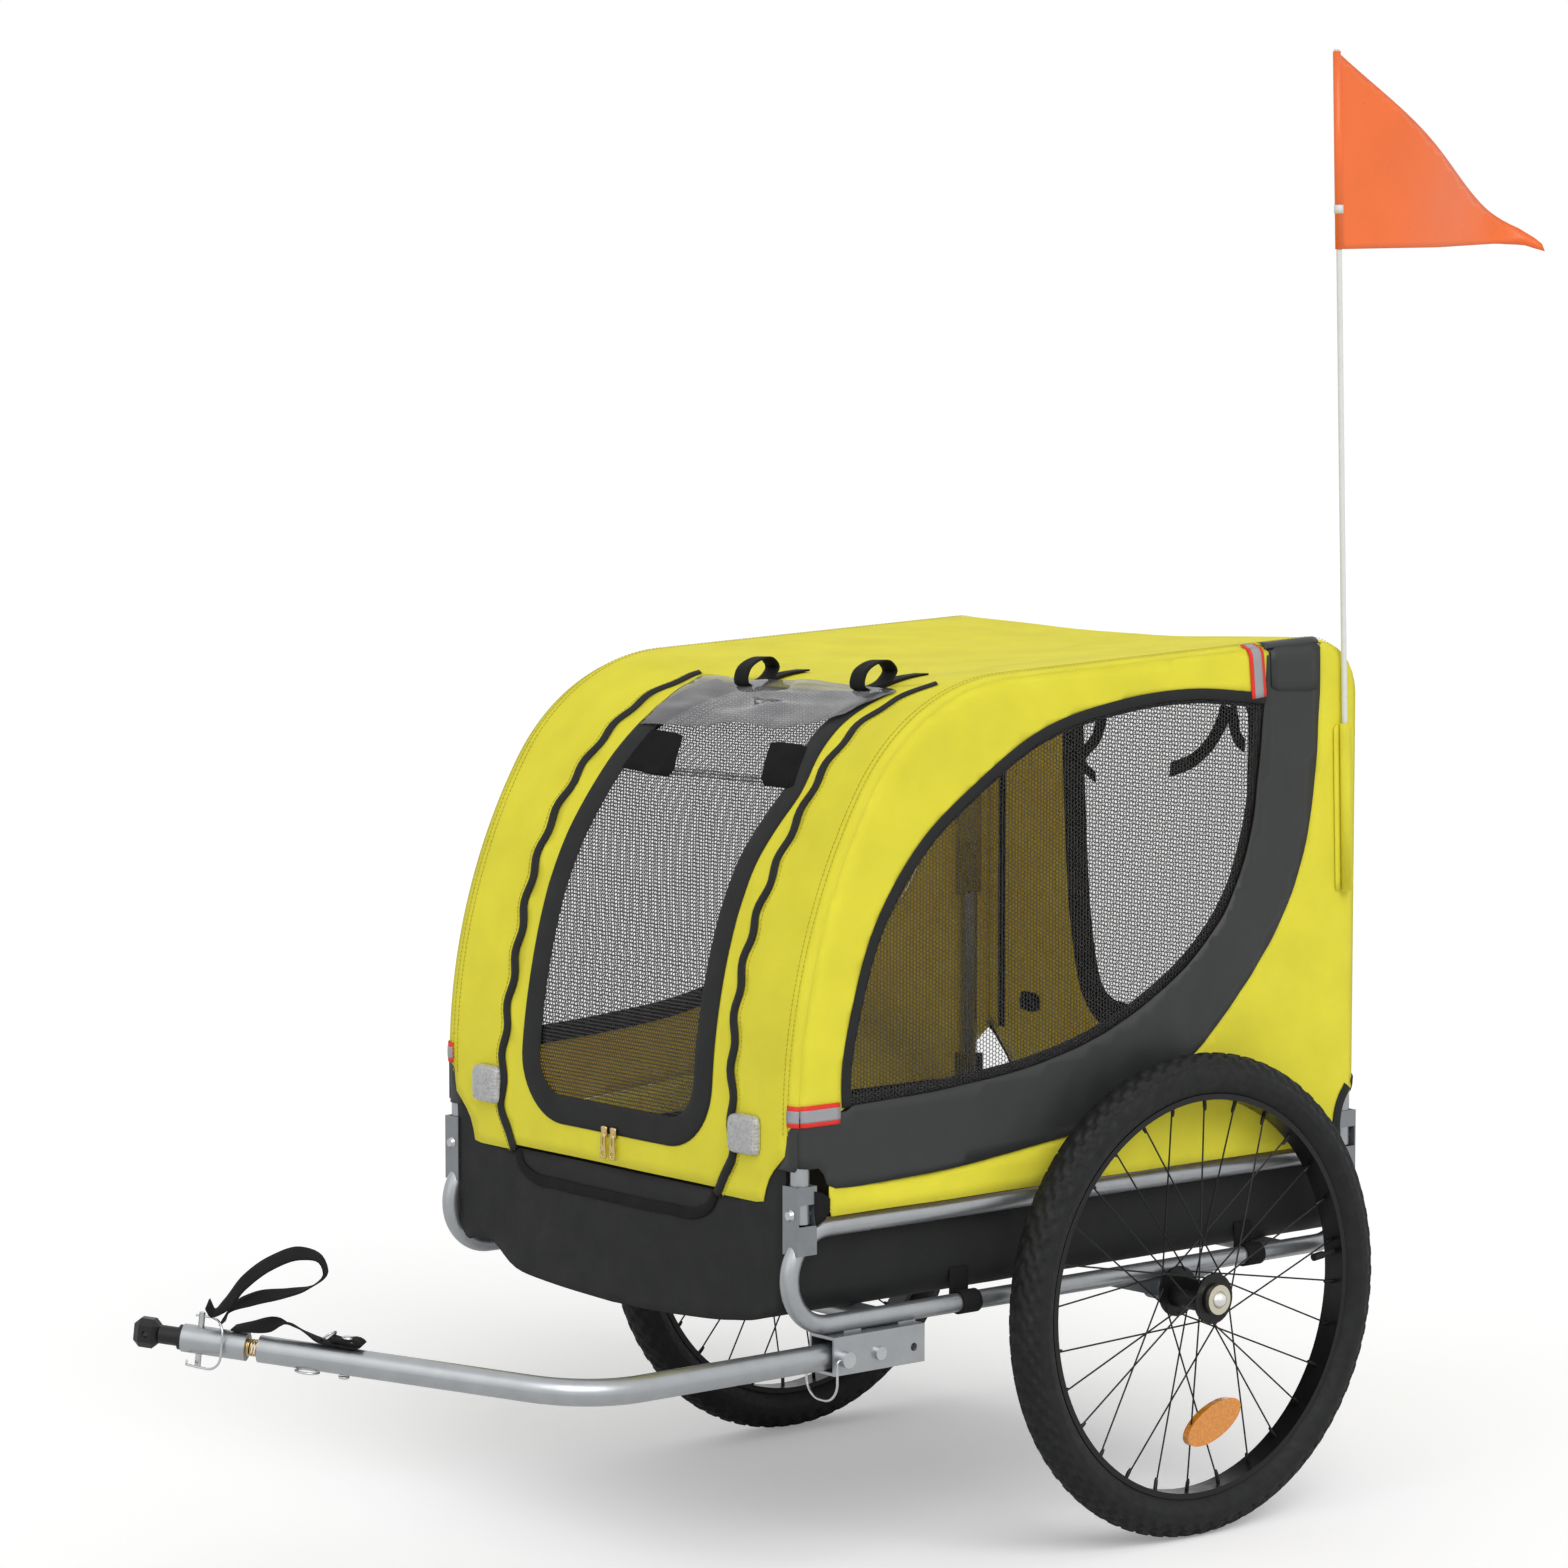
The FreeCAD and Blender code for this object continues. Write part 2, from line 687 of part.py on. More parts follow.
# Tow bar: straight run out of the receiver, one bend, and a slanting run to the hitch
hitch_end = Vector(hitch_x, hitch_y, hitch_z)
tow_bend = Vector(tow_bend_x, loop_half_width, tow_z)
bar_heading = (hitch_end - tow_bend).normalize()
head_back = hitch_end - bar_heading * head_length
sleeve_mouth = head_back - bar_heading * stem_length
sleeve_back = sleeve_mouth - bar_heading * sleeve_length
bar_end = sleeve_back - bar_heading * spring_length
flex_centre = (sleeve_back + bar_end) * 0.5
bar_side = bar_heading.cross(ALONG_Z).normalize()
bar_rise = bar_side.cross(bar_heading).normalize()


def tow_bar():
    start = Vector(receiver_rear_x + tow_tail_inset, loop_half_width, tow_z)
    wire = rounded_path([start, tow_bend, bar_end], [tow_bend_radius])
    tube = swept_tube(wire, tow_tube, tow_tube_wall)
    cap = Part.makeCylinder(tow_tube / 2 - tow_tube_wall, sleeve_end_wall, bar_end, -bar_heading)
    bar = tube.fuse(cap).cut(anchor_rivet_hole())
    for x in (receiver_pin_x, receiver_bolt_x):
        bar = bar.cut(cross_pin_hole(x, receiver_bolt_diameter + 2 * pin_fit))
    return bar.removeSplitter()


def coupler_sleeve():
    outer = Part.makeCylinder(sleeve_diameter / 2, sleeve_length, sleeve_mouth, -bar_heading)
    bore = Part.makeCylinder(stem_diameter / 2, sleeve_length - sleeve_end_wall, sleeve_mouth, -bar_heading)
    return outer.cut(bore).cut(coupler_pin_hole())


def coupler_pin_hole():
    centre = sleeve_mouth - bar_heading * coupler_pin_from_mouth
    start = centre - bar_rise * coupler_pin_length
    return Part.makeCylinder(coupler_pin_diameter / 2 + pin_fit, 2 * coupler_pin_length, start, bar_rise)


def hitch_rod():
    half_width = bar_side * (head_width / 2)
    half_height = bar_rise * (head_height / 2)
    corners = [head_back + half_width + half_height, head_back - half_width + half_height,
               head_back - half_width - half_height, head_back + half_width - half_height]
    head = prism(corners, bar_heading * head_length)
    head = head.makeChamfer(head_chamfer, head.Edges)
    stem_inside = sleeve_length - sleeve_end_wall
    stem = Part.makeCylinder(stem_diameter / 2, stem_length + stem_inside, head_back, -bar_heading)
    collar = Part.makeCylinder(collar_diameter / 2, collar_length, sleeve_mouth, bar_heading)
    centre = hitch_end - bar_heading * (head_length / 2)
    bore = Part.makeCylinder(head_bore / 2, 2 * head_width, centre - bar_side * head_width, bar_side)
    return head.fuse(stem).fuse(collar).cut(coupler_pin_hole()).cut(bore).removeSplitter()


pin_centre = sleeve_mouth - bar_heading * coupler_pin_from_mouth
pin_top = pin_centre + bar_rise * (coupler_pin_length / 2)


def coupler_pin():
    return Part.makeCylinder(coupler_pin_diameter / 2, coupler_pin_length, pin_top, -bar_rise).cut(
        Part.makeCylinder(wire_diameter / 2 + pin_fit, 4 * coupler_pin_diameter,
                          pin_top - bar_rise * coupler_eye_inset - bar_heading * 2 * coupler_pin_diameter,
                          bar_heading))


# The wire of the coupler pin goes back from the pin's top, round the sleeve's near side and under its end
def coupler_ring():
    reach = sleeve_diameter / 2 + ring_clearance
    near = bar_side * -reach
    top = pin_top - bar_rise * coupler_eye_inset
    low = pin_centre - bar_rise * (coupler_pin_length / 2 - coupler_eye_inset)
    back = bar_heading * -ring_back_length
    tail = low + bar_heading * ring_tail_ahead - bar_side * ring_tail_near
    tip = low + bar_heading * ring_tip_ahead + bar_side * ring_tail_far
    points = [top + bar_heading * coupler_pin_diameter, top - bar_heading * ring_start_length,
              top + back + near, low + back + near, tail, tip]
    tight = ring_bend_radius
    return snap_ring(points, [tight, coupler_ring_radius, coupler_ring_radius, tight])


# Spring between bar and sleeve: one unbroken wire, quarter-turn arcs, straight ends
def coupler_spring():
    turns_length = spring_length - 2 * spring_wire
    coil_radius = (spring_diameter - spring_wire) / 2
    start = bar_end + bar_heading * spring_wire

    def helix_point(quarter_turns):
        angle = quarter_turns * math.pi / 2
        rise = turns_length * quarter_turns / (4 * spring_turns)
        return (start + bar_heading * rise + bar_side * (coil_radius * math.cos(angle))
                + bar_rise * (coil_radius * math.sin(angle)))

    pitch = turns_length / spring_turns
    print("spring gap", round(pitch - spring_wire, 2))
    edges = []
    for quarter in range(4 * spring_turns):
        middle = helix_point(quarter + 0.5)
        edges.append(Part.Arc(helix_point(quarter), middle, helix_point(quarter + 1)).toShape())
    coil = swept_round(Part.Wire(edges), spring_wire)
    first = helix_point(0)
    last = helix_point(4 * spring_turns)
    seats = []
    for end, inward in ((first, bar_heading), (last, -bar_heading)):
        seat_start = end - inward * spring_wire
        seats.append(Part.makeCylinder(spring_wire / 2, spring_seat_length, seat_start, inward))
    return coil.fuse(seats).removeSplitter()


# Safety strap: a run along the top of the bar and a standing loop over the coupler
def strap_point(along, height):
    return flex_centre + bar_heading * along + bar_rise * height


def safety_strap():
    top = sleeve_diameter / 2 + strap_gap
    half = bar_side * (strap_width / 2)

    def band(points):
        return prism([point - half for point in points], half * 2)

    thick = strap_thickness
    run = band([strap_point(-strap_run, top), strap_point(strap_tail, top),
                strap_point(strap_tail, top + thick), strap_point(-strap_run, top + thick)])

    def loop_point(back, up):
        along = strap_loop_start - strap_loop_length * back
        return strap_point(along, top + thick / 2 + strap_loop_height * up)

    def loop_band(inset):
        lift = bar_rise * inset
        pull = bar_heading * inset
        return band([loop_point(0, 0) - pull + lift, loop_point(loop_bend_share, 1) - lift,
                     loop_point(loop_top_share, 1) - lift, loop_point(1, loop_end_rise) + pull,
                     loop_point(loop_top_share, loop_low_rise) + lift,
                     loop_point(loop_bend_share, loop_foot_rise) + lift])

    loop = loop_band(0).cut(loop_band(thick))
    return run.fuse(loop).removeSplitter()


# The strap's folded end lies on the bar and is held by a rivet through the bar
def anchor_middle():
    return strap_point(-strap_run - strap_anchor_length / 2, 0)


def anchor_rivet_hole():
    start = anchor_middle() - bar_rise * tow_tube
    return Part.makeCylinder(anchor_rivet_radius, 2 * tow_tube, start, bar_rise)


def strap_anchor():
    half_long = bar_heading * (strap_anchor_length / 2)
    half_wide = bar_side * (strap_width / 2)
    foot = anchor_middle()
    top = tow_tube / 2 + strap_anchor_height
    fold = prism([foot - half_long - half_wide, foot + half_long - half_wide,
                  foot + half_long + half_wide, foot - half_long + half_wide], bar_rise * top)
    bar_space = Part.makeCylinder(tow_tube / 2 + tow_seat_gap, 2 * strap_anchor_length,
                                  foot - bar_heading * strap_anchor_length, bar_heading)
    fold = fold.cut(bar_space).cut(anchor_rivet_hole())
    low = foot - bar_rise * (tow_tube / 2)
    shank = Part.makeCylinder(anchor_rivet_radius, tow_tube / 2 + top, low, bar_rise)
    top_head = Part.makeCylinder(anchor_rivet_head, anchor_rivet_height, foot + bar_rise * top, bar_rise)
    low_head = Part.makeCylinder(anchor_rivet_head, anchor_rivet_height, low, -bar_rise)
    return group([fold, shank.fuse(top_head).fuse(low_head).removeSplitter()])


# Tub: fabric trough between the loops, with holes for the cross tubes
tub_half_width = loop_half_width - frame_tube / 2 - band_gap - band_thickness - tub_gap
tub_front_x = arch_front_x + arch_tube / 2 + cover_gap + cover_fabric
tub_rear_x = arch_rear_left_x - arch_tube / 2 - cover_gap - cover_fabric


def tub_trough(inset, top_z):
    half = tub_half_width - inset
    floor_half = tub_floor_half_width - inset / 2
    bottom = tub_bottom_z + inset
    x = tub_rear_x + inset
    points = [Vector(x, -half, top_z), Vector(x, -half, tub_shoulder_z), Vector(x, -floor_half, bottom),
              Vector(x, floor_half, bottom), Vector(x, half, tub_shoulder_z), Vector(x, half, top_z)]
    return prism(points, Vector(tub_front_x - tub_rear_x - 2 * inset, 0, 0))


def floor_tub():
    tub = tub_trough(0, tub_top_z).cut(tub_trough(tub_fabric, tub_top_z + 1))
    for x in (cross_tube_front_x, cross_tube_rear_x):
        start = Vector(x, -loop_half_width, rail_low_z)
        tub = tub.cut(Part.makeCylinder(frame_tube / 2 + tub_hole_gap, 2 * loop_half_width, start, ALONG_Y))
    return tub


def floor_board():
    bottom = rail_low_z + frame_tube / 2 + floor_board_gap
    share = (bottom - tub_bottom_z) / (tub_shoulder_z - tub_bottom_z)
    half = tub_floor_half_width + share * (tub_half_width - tub_floor_half_width) - floor_board_margin
    return box(tub_rear_x + floor_board_margin, -half, bottom,
               tub_front_x - floor_board_margin, half, bottom + floor_board_thickness)


# Bands that tie the tub's shoulder to the lower rails
def tub_bands():
    shapes = []
    inner = frame_tube / 2 + band_gap
    for x in band_places:
        start = Vector(x, loop_half_width, rail_low_z)
        wrap = ring(inner + band_thickness, inner, band_width, start, ALONG_X)
        low_y = loop_half_width - inner - band_thickness
        tail_top = tub_shoulder_z + frame_tube / 2
        tail = box(x, low_y, rail_low_z, x + band_width, low_y + band_thickness, tail_top)
        keep_out = Part.makeCylinder(inner, band_width, start, ALONG_X)
        band = wrap.fuse(tail.cut(keep_out)).removeSplitter()
        shapes.append(band)
        shapes.append(mirrored(band))
    return group(shapes)


# Cover: a hood that follows the arches, split into its sewn panels
cover_outset = arch_tube / 2 + cover_gap + cover_fabric
cover_half_width = loop_half_width + cover_outset


def hood(inset, half_width):
    edges = arch_edges(arch_rear_left_x, cover_outset - inset, cover_bottom_z, -half_width)
    close = line_edge(end_of(edges[-1]), start_of(edges[0]))
    return Part.Face(Part.Wire(edges + [close])).extrude(Vector(0, 2 * half_width, 0))


def hood_shell():
    return hood(0, cover_half_width).cut(hood(cover_fabric, cover_half_width - cover_fabric))


def bracket_cutouts():
    shapes = []
    for x, outward, low_side in ((arch_front_x, 1, 1), (arch_rear_left_x, -1, 1),
                                 (arch_front_x, 1, -1), (arch_rear_right_x, -1, -1)):
        inner_x = x - outward * (bracket_depth / 2 + cutout_margin)
        outer_x = x + outward * 4 * cover_outset
        inner_y = low_side * (loop_half_width - bracket_width / 2 - cutout_margin)
        outer_y = low_side * 2 * loop_half_width
        shapes.append(box(min(inner_x, outer_x), min(inner_y, outer_y), 0, max(inner_x, outer_x),
                          max(inner_y, outer_y), bracket_top_z + cutout_height))
    return shapes


def slab(half_width, low_x, low_z, high_z):
    return box(low_x, -half_width, low_z, 2 * arch_front_x, half_width, high_z)


def side_window(y, thickness):
    top = side_window_top_z
    low = side_window_bottom_z
    front = side_window_front_x
    rear = side_window_rear_x
    width = front - rear
    height = top - low

    def place(across, up):
        return Vector(rear + across * width, y, low + up * height)

    front_low = place(1.0, 0.0)
    front_high = place(0.64, 0.86)
    top_front = place(0.26, 1.0)
    top_rear = place(0.0, 1.0)
    rear_low = place(0.38, 0.09)
    wire = Part.Wire([
        Part.Arc(front_low, place(0.91, 0.52), front_high).toShape(),
        Part.Arc(front_high, place(0.46, 0.96), top_front).toShape(),
        line_edge(top_front, top_rear),
        Part.Arc(top_rear, place(0.09, 0.42), rear_low).toShape(),
        Part.Arc(rear_low, place(0.64, 0.01), front_low).toShape(),
    ])
    return Part.Face(wire).extrude(Vector(0, thickness, 0))


def cover_panels():
    shell = hood_shell()
    for cutout in bracket_cutouts():
        shell = shell.cut(cutout)
    side_y = cover_half_width - cover_fabric
    far = 4 * loop_half_width
    wrap = shell.common(box(-far, -side_y, 0, far, side_y, far))
    door_cut = slab(door_half_width, door_top_x, door_bottom_z, far)
    door_body = slab(door_half_width - door_gap, door_top_x + door_gap, door_bottom_z + door_gap, far)
    door = wrap.common(door_body)
    window_cut = slab(door_window_half_width, door_window_top_x, door_window_bottom_z, far)
    rear_cut = box(-far, -rear_window_half_width, rear_window_bottom_z,
                   0, rear_window_half_width, rear_window_top_z)
    panels = {
        "roof_cover": wrap.cut(door_cut).cut(rear_cut),
        "front_door": door.cut(window_cut),
        "door_mesh": door.common(window_cut),
        "rear_mesh": wrap.common(rear_cut),
    }
    for name, low_y in (("left", side_y), ("right", -cover_half_width)):
        plate = shell.common(box(-far, low_y, side_bottom_z, far, low_y + cover_fabric, far))
        window = side_window(low_y, cover_fabric)
        panels[name + "_side_panel"] = plate.cut(window)
        panels[name + "_side_mesh"] = plate.common(window)
    return panels


cover_front_x = arch_front_x + cover_outset


def front_reflectors():
    shapes = []
    for y in (-front_reflector_y, front_reflector_y):
        low_z = front_reflector_z - front_reflector_height / 2
        shapes.append(box(cover_front_x, y - front_reflector_width / 2, low_z,
                          cover_front_x + front_reflector_depth, y + front_reflector_width / 2,
                          low_z + front_reflector_height))
    return group(shapes)


def zip_sliders():
    shapes = []
    for side in (-1, 1):
        y = side * zip_slider_spacing / 2
        shapes.append(box(cover_front_x, y - zip_slider_width / 2, zip_slider_z - zip_slider_height / 2,
                          cover_front_x + zip_slider_depth, y + zip_slider_width / 2,
                          zip_slider_z + zip_slider_height / 2))
    return group(shapes)


def carry_loops():
    edges = arch_edges(arch_rear_left_x, cover_outset, cover_bottom_z, 0)
    roof_start = start_of(edges[3])
    roof_z = roof_start.z + (roof_start.x - carry_loop_x) * math.tan(math.radians(roof_slope_deg))
    shapes = []
    for side in (-1, 1):
        y = carry_loop_middle_y + side * carry_loop_spread
        start = Vector(carry_loop_x, y - carry_loop_width / 2, roof_z)
        inner_radius = carry_loop_radius - carry_loop_thickness
        band = ring(carry_loop_radius, inner_radius, carry_loop_width, start, ALONG_Y)
        shapes.append(band.cut(hood(0, cover_half_width)))
    return group(shapes)


# Safety flag: pole in a fabric pocket on the left side, leaning a little forward
pole_y = cover_half_width + pocket_gap + pocket_wall + pocket_fit + pole_diameter / 2
pole_foot = Vector(pole_x, pole_y, pole_bottom_z)


def leaning(shape):
    return turn(shape, pole_foot, ALONG_Y, pole_lean_deg)


def flag_pole():
    rod = Part.makeCylinder(pole_diameter / 2, pole_top_z - pole_bottom_z, pole_foot, ALONG_Z)
    return leaning(rod)


def flag_pocket():
    outer_radius = pole_diameter / 2 + pocket_fit + pocket_wall
    start = pole_foot - ALONG_Z * pocket_wall
    sleeve = Part.makeCylinder(outer_radius, pocket_length + pocket_wall, start, ALONG_Z)
    bore = Part.makeCylinder(pole_diameter / 2 + pocket_fit, pocket_length, pole_foot, ALONG_Z)
    return leaning(sleeve.cut(bore))


def flag():
    sleeve_radius = pole_diameter / 2 + flag_sleeve_wall
    top_z = pole_top_z - flag_top_gap
    low_z = top_z - flag_hoist
    sleeve = ring(sleeve_radius, pole_diameter / 2, flag_hoist, Vector(pole_x, pole_y, low_z), ALONG_Z)
    half = flag_thickness / 2
    tip = Vector(pole_x - flag_fly, pole_y - half, low_z - flag_tip_drop)
    lower = Vector(pole_x - flag_fly * flag_lower_share, pole_y - half, low_z)
    corners = [Vector(pole_x, pole_y - half, top_z), tip, lower, Vector(pole_x, pole_y - half, low_z)]
    cloth = prism(corners, Vector(0, flag_thickness, 0))
    pole_space = Part.makeCylinder(pole_diameter / 2, flag_hoist, Vector(pole_x, pole_y, low_z), ALONG_Z)
    cloth = cloth.cut(pole_space)
    return leaning(sleeve.fuse(cloth).removeSplitter())


pieces = {}
left_loop_solid = swept_round(loop_wire(arch_rear_left_x, loop_half_width), frame_tube)
right_loop_solid = swept_round(loop_wire(arch_rear_right_x, -loop_half_width), frame_tube)
pieces["left_loop"] = swept_tube(loop_wire(arch_rear_left_x, loop_half_width), frame_tube, frame_tube_wall)
pieces["right_loop"] = swept_tube(loop_wire(arch_rear_right_x, -loop_half_width), frame_tube, frame_tube_wall)
pieces["front_cross_tube"] = cross_tube(cross_tube_front_x, [left_loop_solid, right_loop_solid])
pieces["rear_cross_tube"] = cross_tube(cross_tube_rear_x, [left_loop_solid, right_loop_solid])
right_as_left = mirrored(right_loop_solid)
pieces["front_left_bracket"] = bracket(arch_front_x, left_loop_solid)
pieces["rear_left_bracket"] = bracket(arch_rear_left_x, left_loop_solid)
pieces["front_right_bracket"] = mirrored(bracket(arch_front_x, right_as_left))
pieces["rear_right_bracket"] = mirrored(bracket(arch_rear_right_x, right_as_left))
bolts = []
for bolt_x, bolt_y in ((arch_front_x, loop_half_width), (arch_rear_left_x, loop_half_width),
                       (arch_front_x, -loop_half_width), (arch_rear_right_x, -loop_half_width)):
    bolts.extend(pivot_bolt(bolt_x, bolt_y))
pieces["pivot_bolts"] = group(bolts)
pieces["left_arch"] = arch(arch_rear_left_x, loop_half_width)
pieces["right_arch"] = arch(arch_rear_right_x, -loop_half_width)

left_side = {
    "axle_mount": axle_mount(left_loop_solid),
    "axle": axle(),
    "button": release_button(),
    "tyre": tyre(),
    "rim": rim(),
    "spokes": spokes(),
    "hub": hub(),
    "bearings": bearings(),
    "valve": valve(),
    "wheel_reflector": wheel_reflector(),
}
for name, shape in left_side.items():
    pieces["left_" + name] = shape
    pieces["right_" + name] = mirrored(shape)
pieces["right_wheel_reflector"] = turn(pieces["right_wheel_reflector"], Vector(0, 0, wheel_radius), ALONG_Y,
                                      right_reflector_turn_deg)

pieces["hitch_receiver"] = hitch_receiver(left_loop_solid)
pieces["receiver_bolt"] = receiver_bolt()
pieces["receiver_pin"] = receiver_pin()
pieces["receiver_ring"] = receiver_ring()
pieces["tow_bar"] = tow_bar()
pieces["coupler_spring"] = coupler_spring()
pieces["coupler_sleeve"] = coupler_sleeve()
pieces["hitch_rod"] = hitch_rod()
pieces["coupler_pin"] = coupler_pin()
pieces["coupler_ring"] = coupler_ring()
pieces["safety_strap"] = safety_strap()
pieces["strap_anchor"] = strap_anchor()

pieces["floor_tub"] = floor_tub()
pieces["floor_board"] = floor_board()
pieces["tub_bands"] = tub_bands()
pieces.update(cover_panels())
pieces["front_reflectors"] = front_reflectors()
pieces["zip_sliders"] = zip_sliders()
pieces["carry_loops"] = carry_loops()

pieces["flag_pole"] = flag_pole()
pieces["flag_pocket"] = flag_pocket()
pieces["flag"] = flag()

model_box = Part.makeCompound(list(pieces.values())).BoundBox
to_middle = Vector(-(model_box.XMin + model_box.XMax) / 2, 0, 0)
print("axle at x", round(to_middle.x, 3))
for name, shape in pieces.items():
    shape.translate(to_middle)
    shape.exportStep("parts/" + name + ".step")
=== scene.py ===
import json
import math

import bpy
import numpy as np
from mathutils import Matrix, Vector, noise
from mathutils.geometry import delaunay_2d_cdt

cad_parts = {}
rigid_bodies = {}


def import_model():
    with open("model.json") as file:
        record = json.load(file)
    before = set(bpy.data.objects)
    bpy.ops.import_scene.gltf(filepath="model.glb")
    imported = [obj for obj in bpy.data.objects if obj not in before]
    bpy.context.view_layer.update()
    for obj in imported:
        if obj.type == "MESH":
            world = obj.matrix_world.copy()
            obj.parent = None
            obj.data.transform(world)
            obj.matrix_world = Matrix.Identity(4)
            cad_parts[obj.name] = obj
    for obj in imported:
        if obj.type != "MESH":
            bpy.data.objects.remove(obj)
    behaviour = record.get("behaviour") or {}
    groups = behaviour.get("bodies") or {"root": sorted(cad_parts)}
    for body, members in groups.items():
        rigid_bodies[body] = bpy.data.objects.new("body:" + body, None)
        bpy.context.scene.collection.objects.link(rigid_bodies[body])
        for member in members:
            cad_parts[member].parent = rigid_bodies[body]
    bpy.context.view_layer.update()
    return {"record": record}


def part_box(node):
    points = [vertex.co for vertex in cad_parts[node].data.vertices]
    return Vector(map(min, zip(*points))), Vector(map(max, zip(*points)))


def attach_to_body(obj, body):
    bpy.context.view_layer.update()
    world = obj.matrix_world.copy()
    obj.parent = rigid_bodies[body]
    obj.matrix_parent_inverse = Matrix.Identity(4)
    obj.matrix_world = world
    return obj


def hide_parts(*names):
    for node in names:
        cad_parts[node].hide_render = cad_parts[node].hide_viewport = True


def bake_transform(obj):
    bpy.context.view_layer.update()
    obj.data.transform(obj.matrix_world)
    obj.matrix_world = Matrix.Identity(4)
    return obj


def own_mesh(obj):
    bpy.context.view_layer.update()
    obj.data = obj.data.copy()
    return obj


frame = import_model()

# Sizes in metres. Places along the trailer are measured from the wheel axle, heights from the ground.
both_sides = ((1, "left"), (-1, "right"))
tyre_low, tyre_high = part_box("left_tyre")
axle_x = (tyre_low.x + tyre_high.x) / 2
axle_z = (tyre_low.z + tyre_high.z) / 2
wheel_y = (tyre_low.y + tyre_high.y) / 2
wheel_radius = (tyre_high.z - tyre_low.z) / 2
half_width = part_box("left_side_panel")[1].y
cloth = 0.0012

# Camera that took the photograph
camera_data = bpy.data.cameras.new("camera")
camera_data.sensor_width = 36.0
camera_data.lens = 109.04
camera = bpy.data.objects.new("camera", camera_data)
camera.location = (3.37926 + axle_x, 3.77449, 1.20032)
camera_yaw = math.radians(230.59)
camera_pitch = math.radians(-5.04)
camera_forward = Vector((math.cos(camera_yaw) * math.cos(camera_pitch),
                         math.sin(camera_yaw) * math.cos(camera_pitch), math.sin(camera_pitch)))
camera.rotation_euler = camera_forward.to_track_quat("-Z", "Y").to_euler()
camera_data.clip_end = 60.0
bpy.context.scene.collection.objects.link(camera)
bpy.context.scene.camera = camera
bpy.context.scene.view_settings.view_transform = "Standard"


# Materials
def set_inputs(tree, made, inputs):
    for key, value in inputs.items():
        if isinstance(value, bpy.types.NodeSocket):
            tree.links.new(value, made.inputs[key])
        else:
            made.inputs[key].default_value = value


def add_node(tree, kind, inputs=(), **settings):
    made = tree.nodes.new("ShaderNode" + kind)
    for key, value in settings.items():
        setattr(made, key, value)
    set_inputs(tree, made, dict(inputs))
    return made


def maths(tree, operation, *values):
    return add_node(tree, "Math", dict(enumerate(values)), operation=operation).outputs["Value"]


def cloud(tree, vector, scale, detail, distortion=0.0):
    inputs = {"Vector": vector, "Scale": scale, "Detail": detail, "Distortion": distortion}
    return add_node(tree, "TexNoise", inputs).outputs["Fac"]


def relief(tree, height, strength, distance, **under):
    inputs = {"Height": height, "Strength": strength, "Distance": distance, **under}
    return add_node(tree, "Bump", inputs).outputs["Normal"]


def rgba(colour, factor=1.0):
    return tuple(min(1.0, channel * factor) for channel in colour) + (1.0,)


def new_material(name):
    made = bpy.data.materials.new(name)
    made.use_nodes = True
    tree = made.node_tree
    return made, tree, tree.nodes["Principled BSDF"]


def mottled(tree, colour, vector, scale, spread):
    ramp = add_node(tree, "ValToRGB", {"Fac": cloud(tree, vector, scale, 4.0)})
    for element, position, factor in zip(ramp.color_ramp.elements, (0.3, 0.7), (1 - spread, 1 + spread)):
        element.position = position
        element.color = rgba(colour, factor)
    return ramp.outputs["Color"]


def uneven(tree, vector, scale, low, high):
    inputs = {"Value": cloud(tree, vector, scale, 3.0), "From Min": 0.3, "From Max": 0.7}
    inputs.update({"To Min": low, "To Max": high})
    return add_node(tree, "MapRange", inputs).outputs["Result"]


# Metal, plastic or rubber: mottled colour, uneven gloss and a fine bumpy grain
def solid_material(name, colour, roughness, metallic=0.0, grain=900.0, bump=0.05, spread=0.05, gloss=0.5):
    made, tree, shader = new_material(name)
    place = add_node(tree, "TexCoord").outputs["Object"]
    set_inputs(tree, shader, {
        "Base Color": mottled(tree, colour, place, 60.0, spread),
        "Metallic": metallic, "Specular IOR Level": gloss,
        "Roughness": uneven(tree, place, 140.0, roughness * 0.85, roughness * 1.15),
        "Normal": relief(tree, cloud(tree, place, grain, 2.0), bump, 0.0004)})
    return made


def weave_height(tree, place, pitch):
    wave = {"Vector": place, "Scale": 0.31416 / pitch / 2, "Distortion": 0.4, "Detail": 1.0}
    return maths(tree, "MAXIMUM", *(add_node(tree, "TexWave", wave, bands_direction=direction).outputs["Fac"]
                                    for direction in ("X", "Y")))


# Cloth: threads both ways by the piece's own flat coordinates, soft folds, and some light let through
def cloth_material(name, colour, roughness=0.75, pitch=0.0011, bump=0.25, spread=0.06, gloss=0.3, glow=0.0):
    made, tree, shader = new_material(name)
    place = add_node(tree, "TexCoord").outputs["UV"]
    threads = relief(tree, weave_height(tree, place, pitch), bump, 0.0003)
    set_inputs(tree, shader, {
        "Base Color": mottled(tree, colour, place, 14.0, spread), "Specular IOR Level": gloss,
        "Roughness": uneven(tree, place, 30.0, roughness * 0.9, roughness * 1.08),
        "Subsurface Weight": glow, "Subsurface Radius": (0.004, 0.0035, 0.001), "Subsurface Scale": 1.0,
        "Normal": relief(tree, cloud(tree, place, 22.0, 3.0, 0.6), 0.12, 0.004, Normal=threads)})
    return made


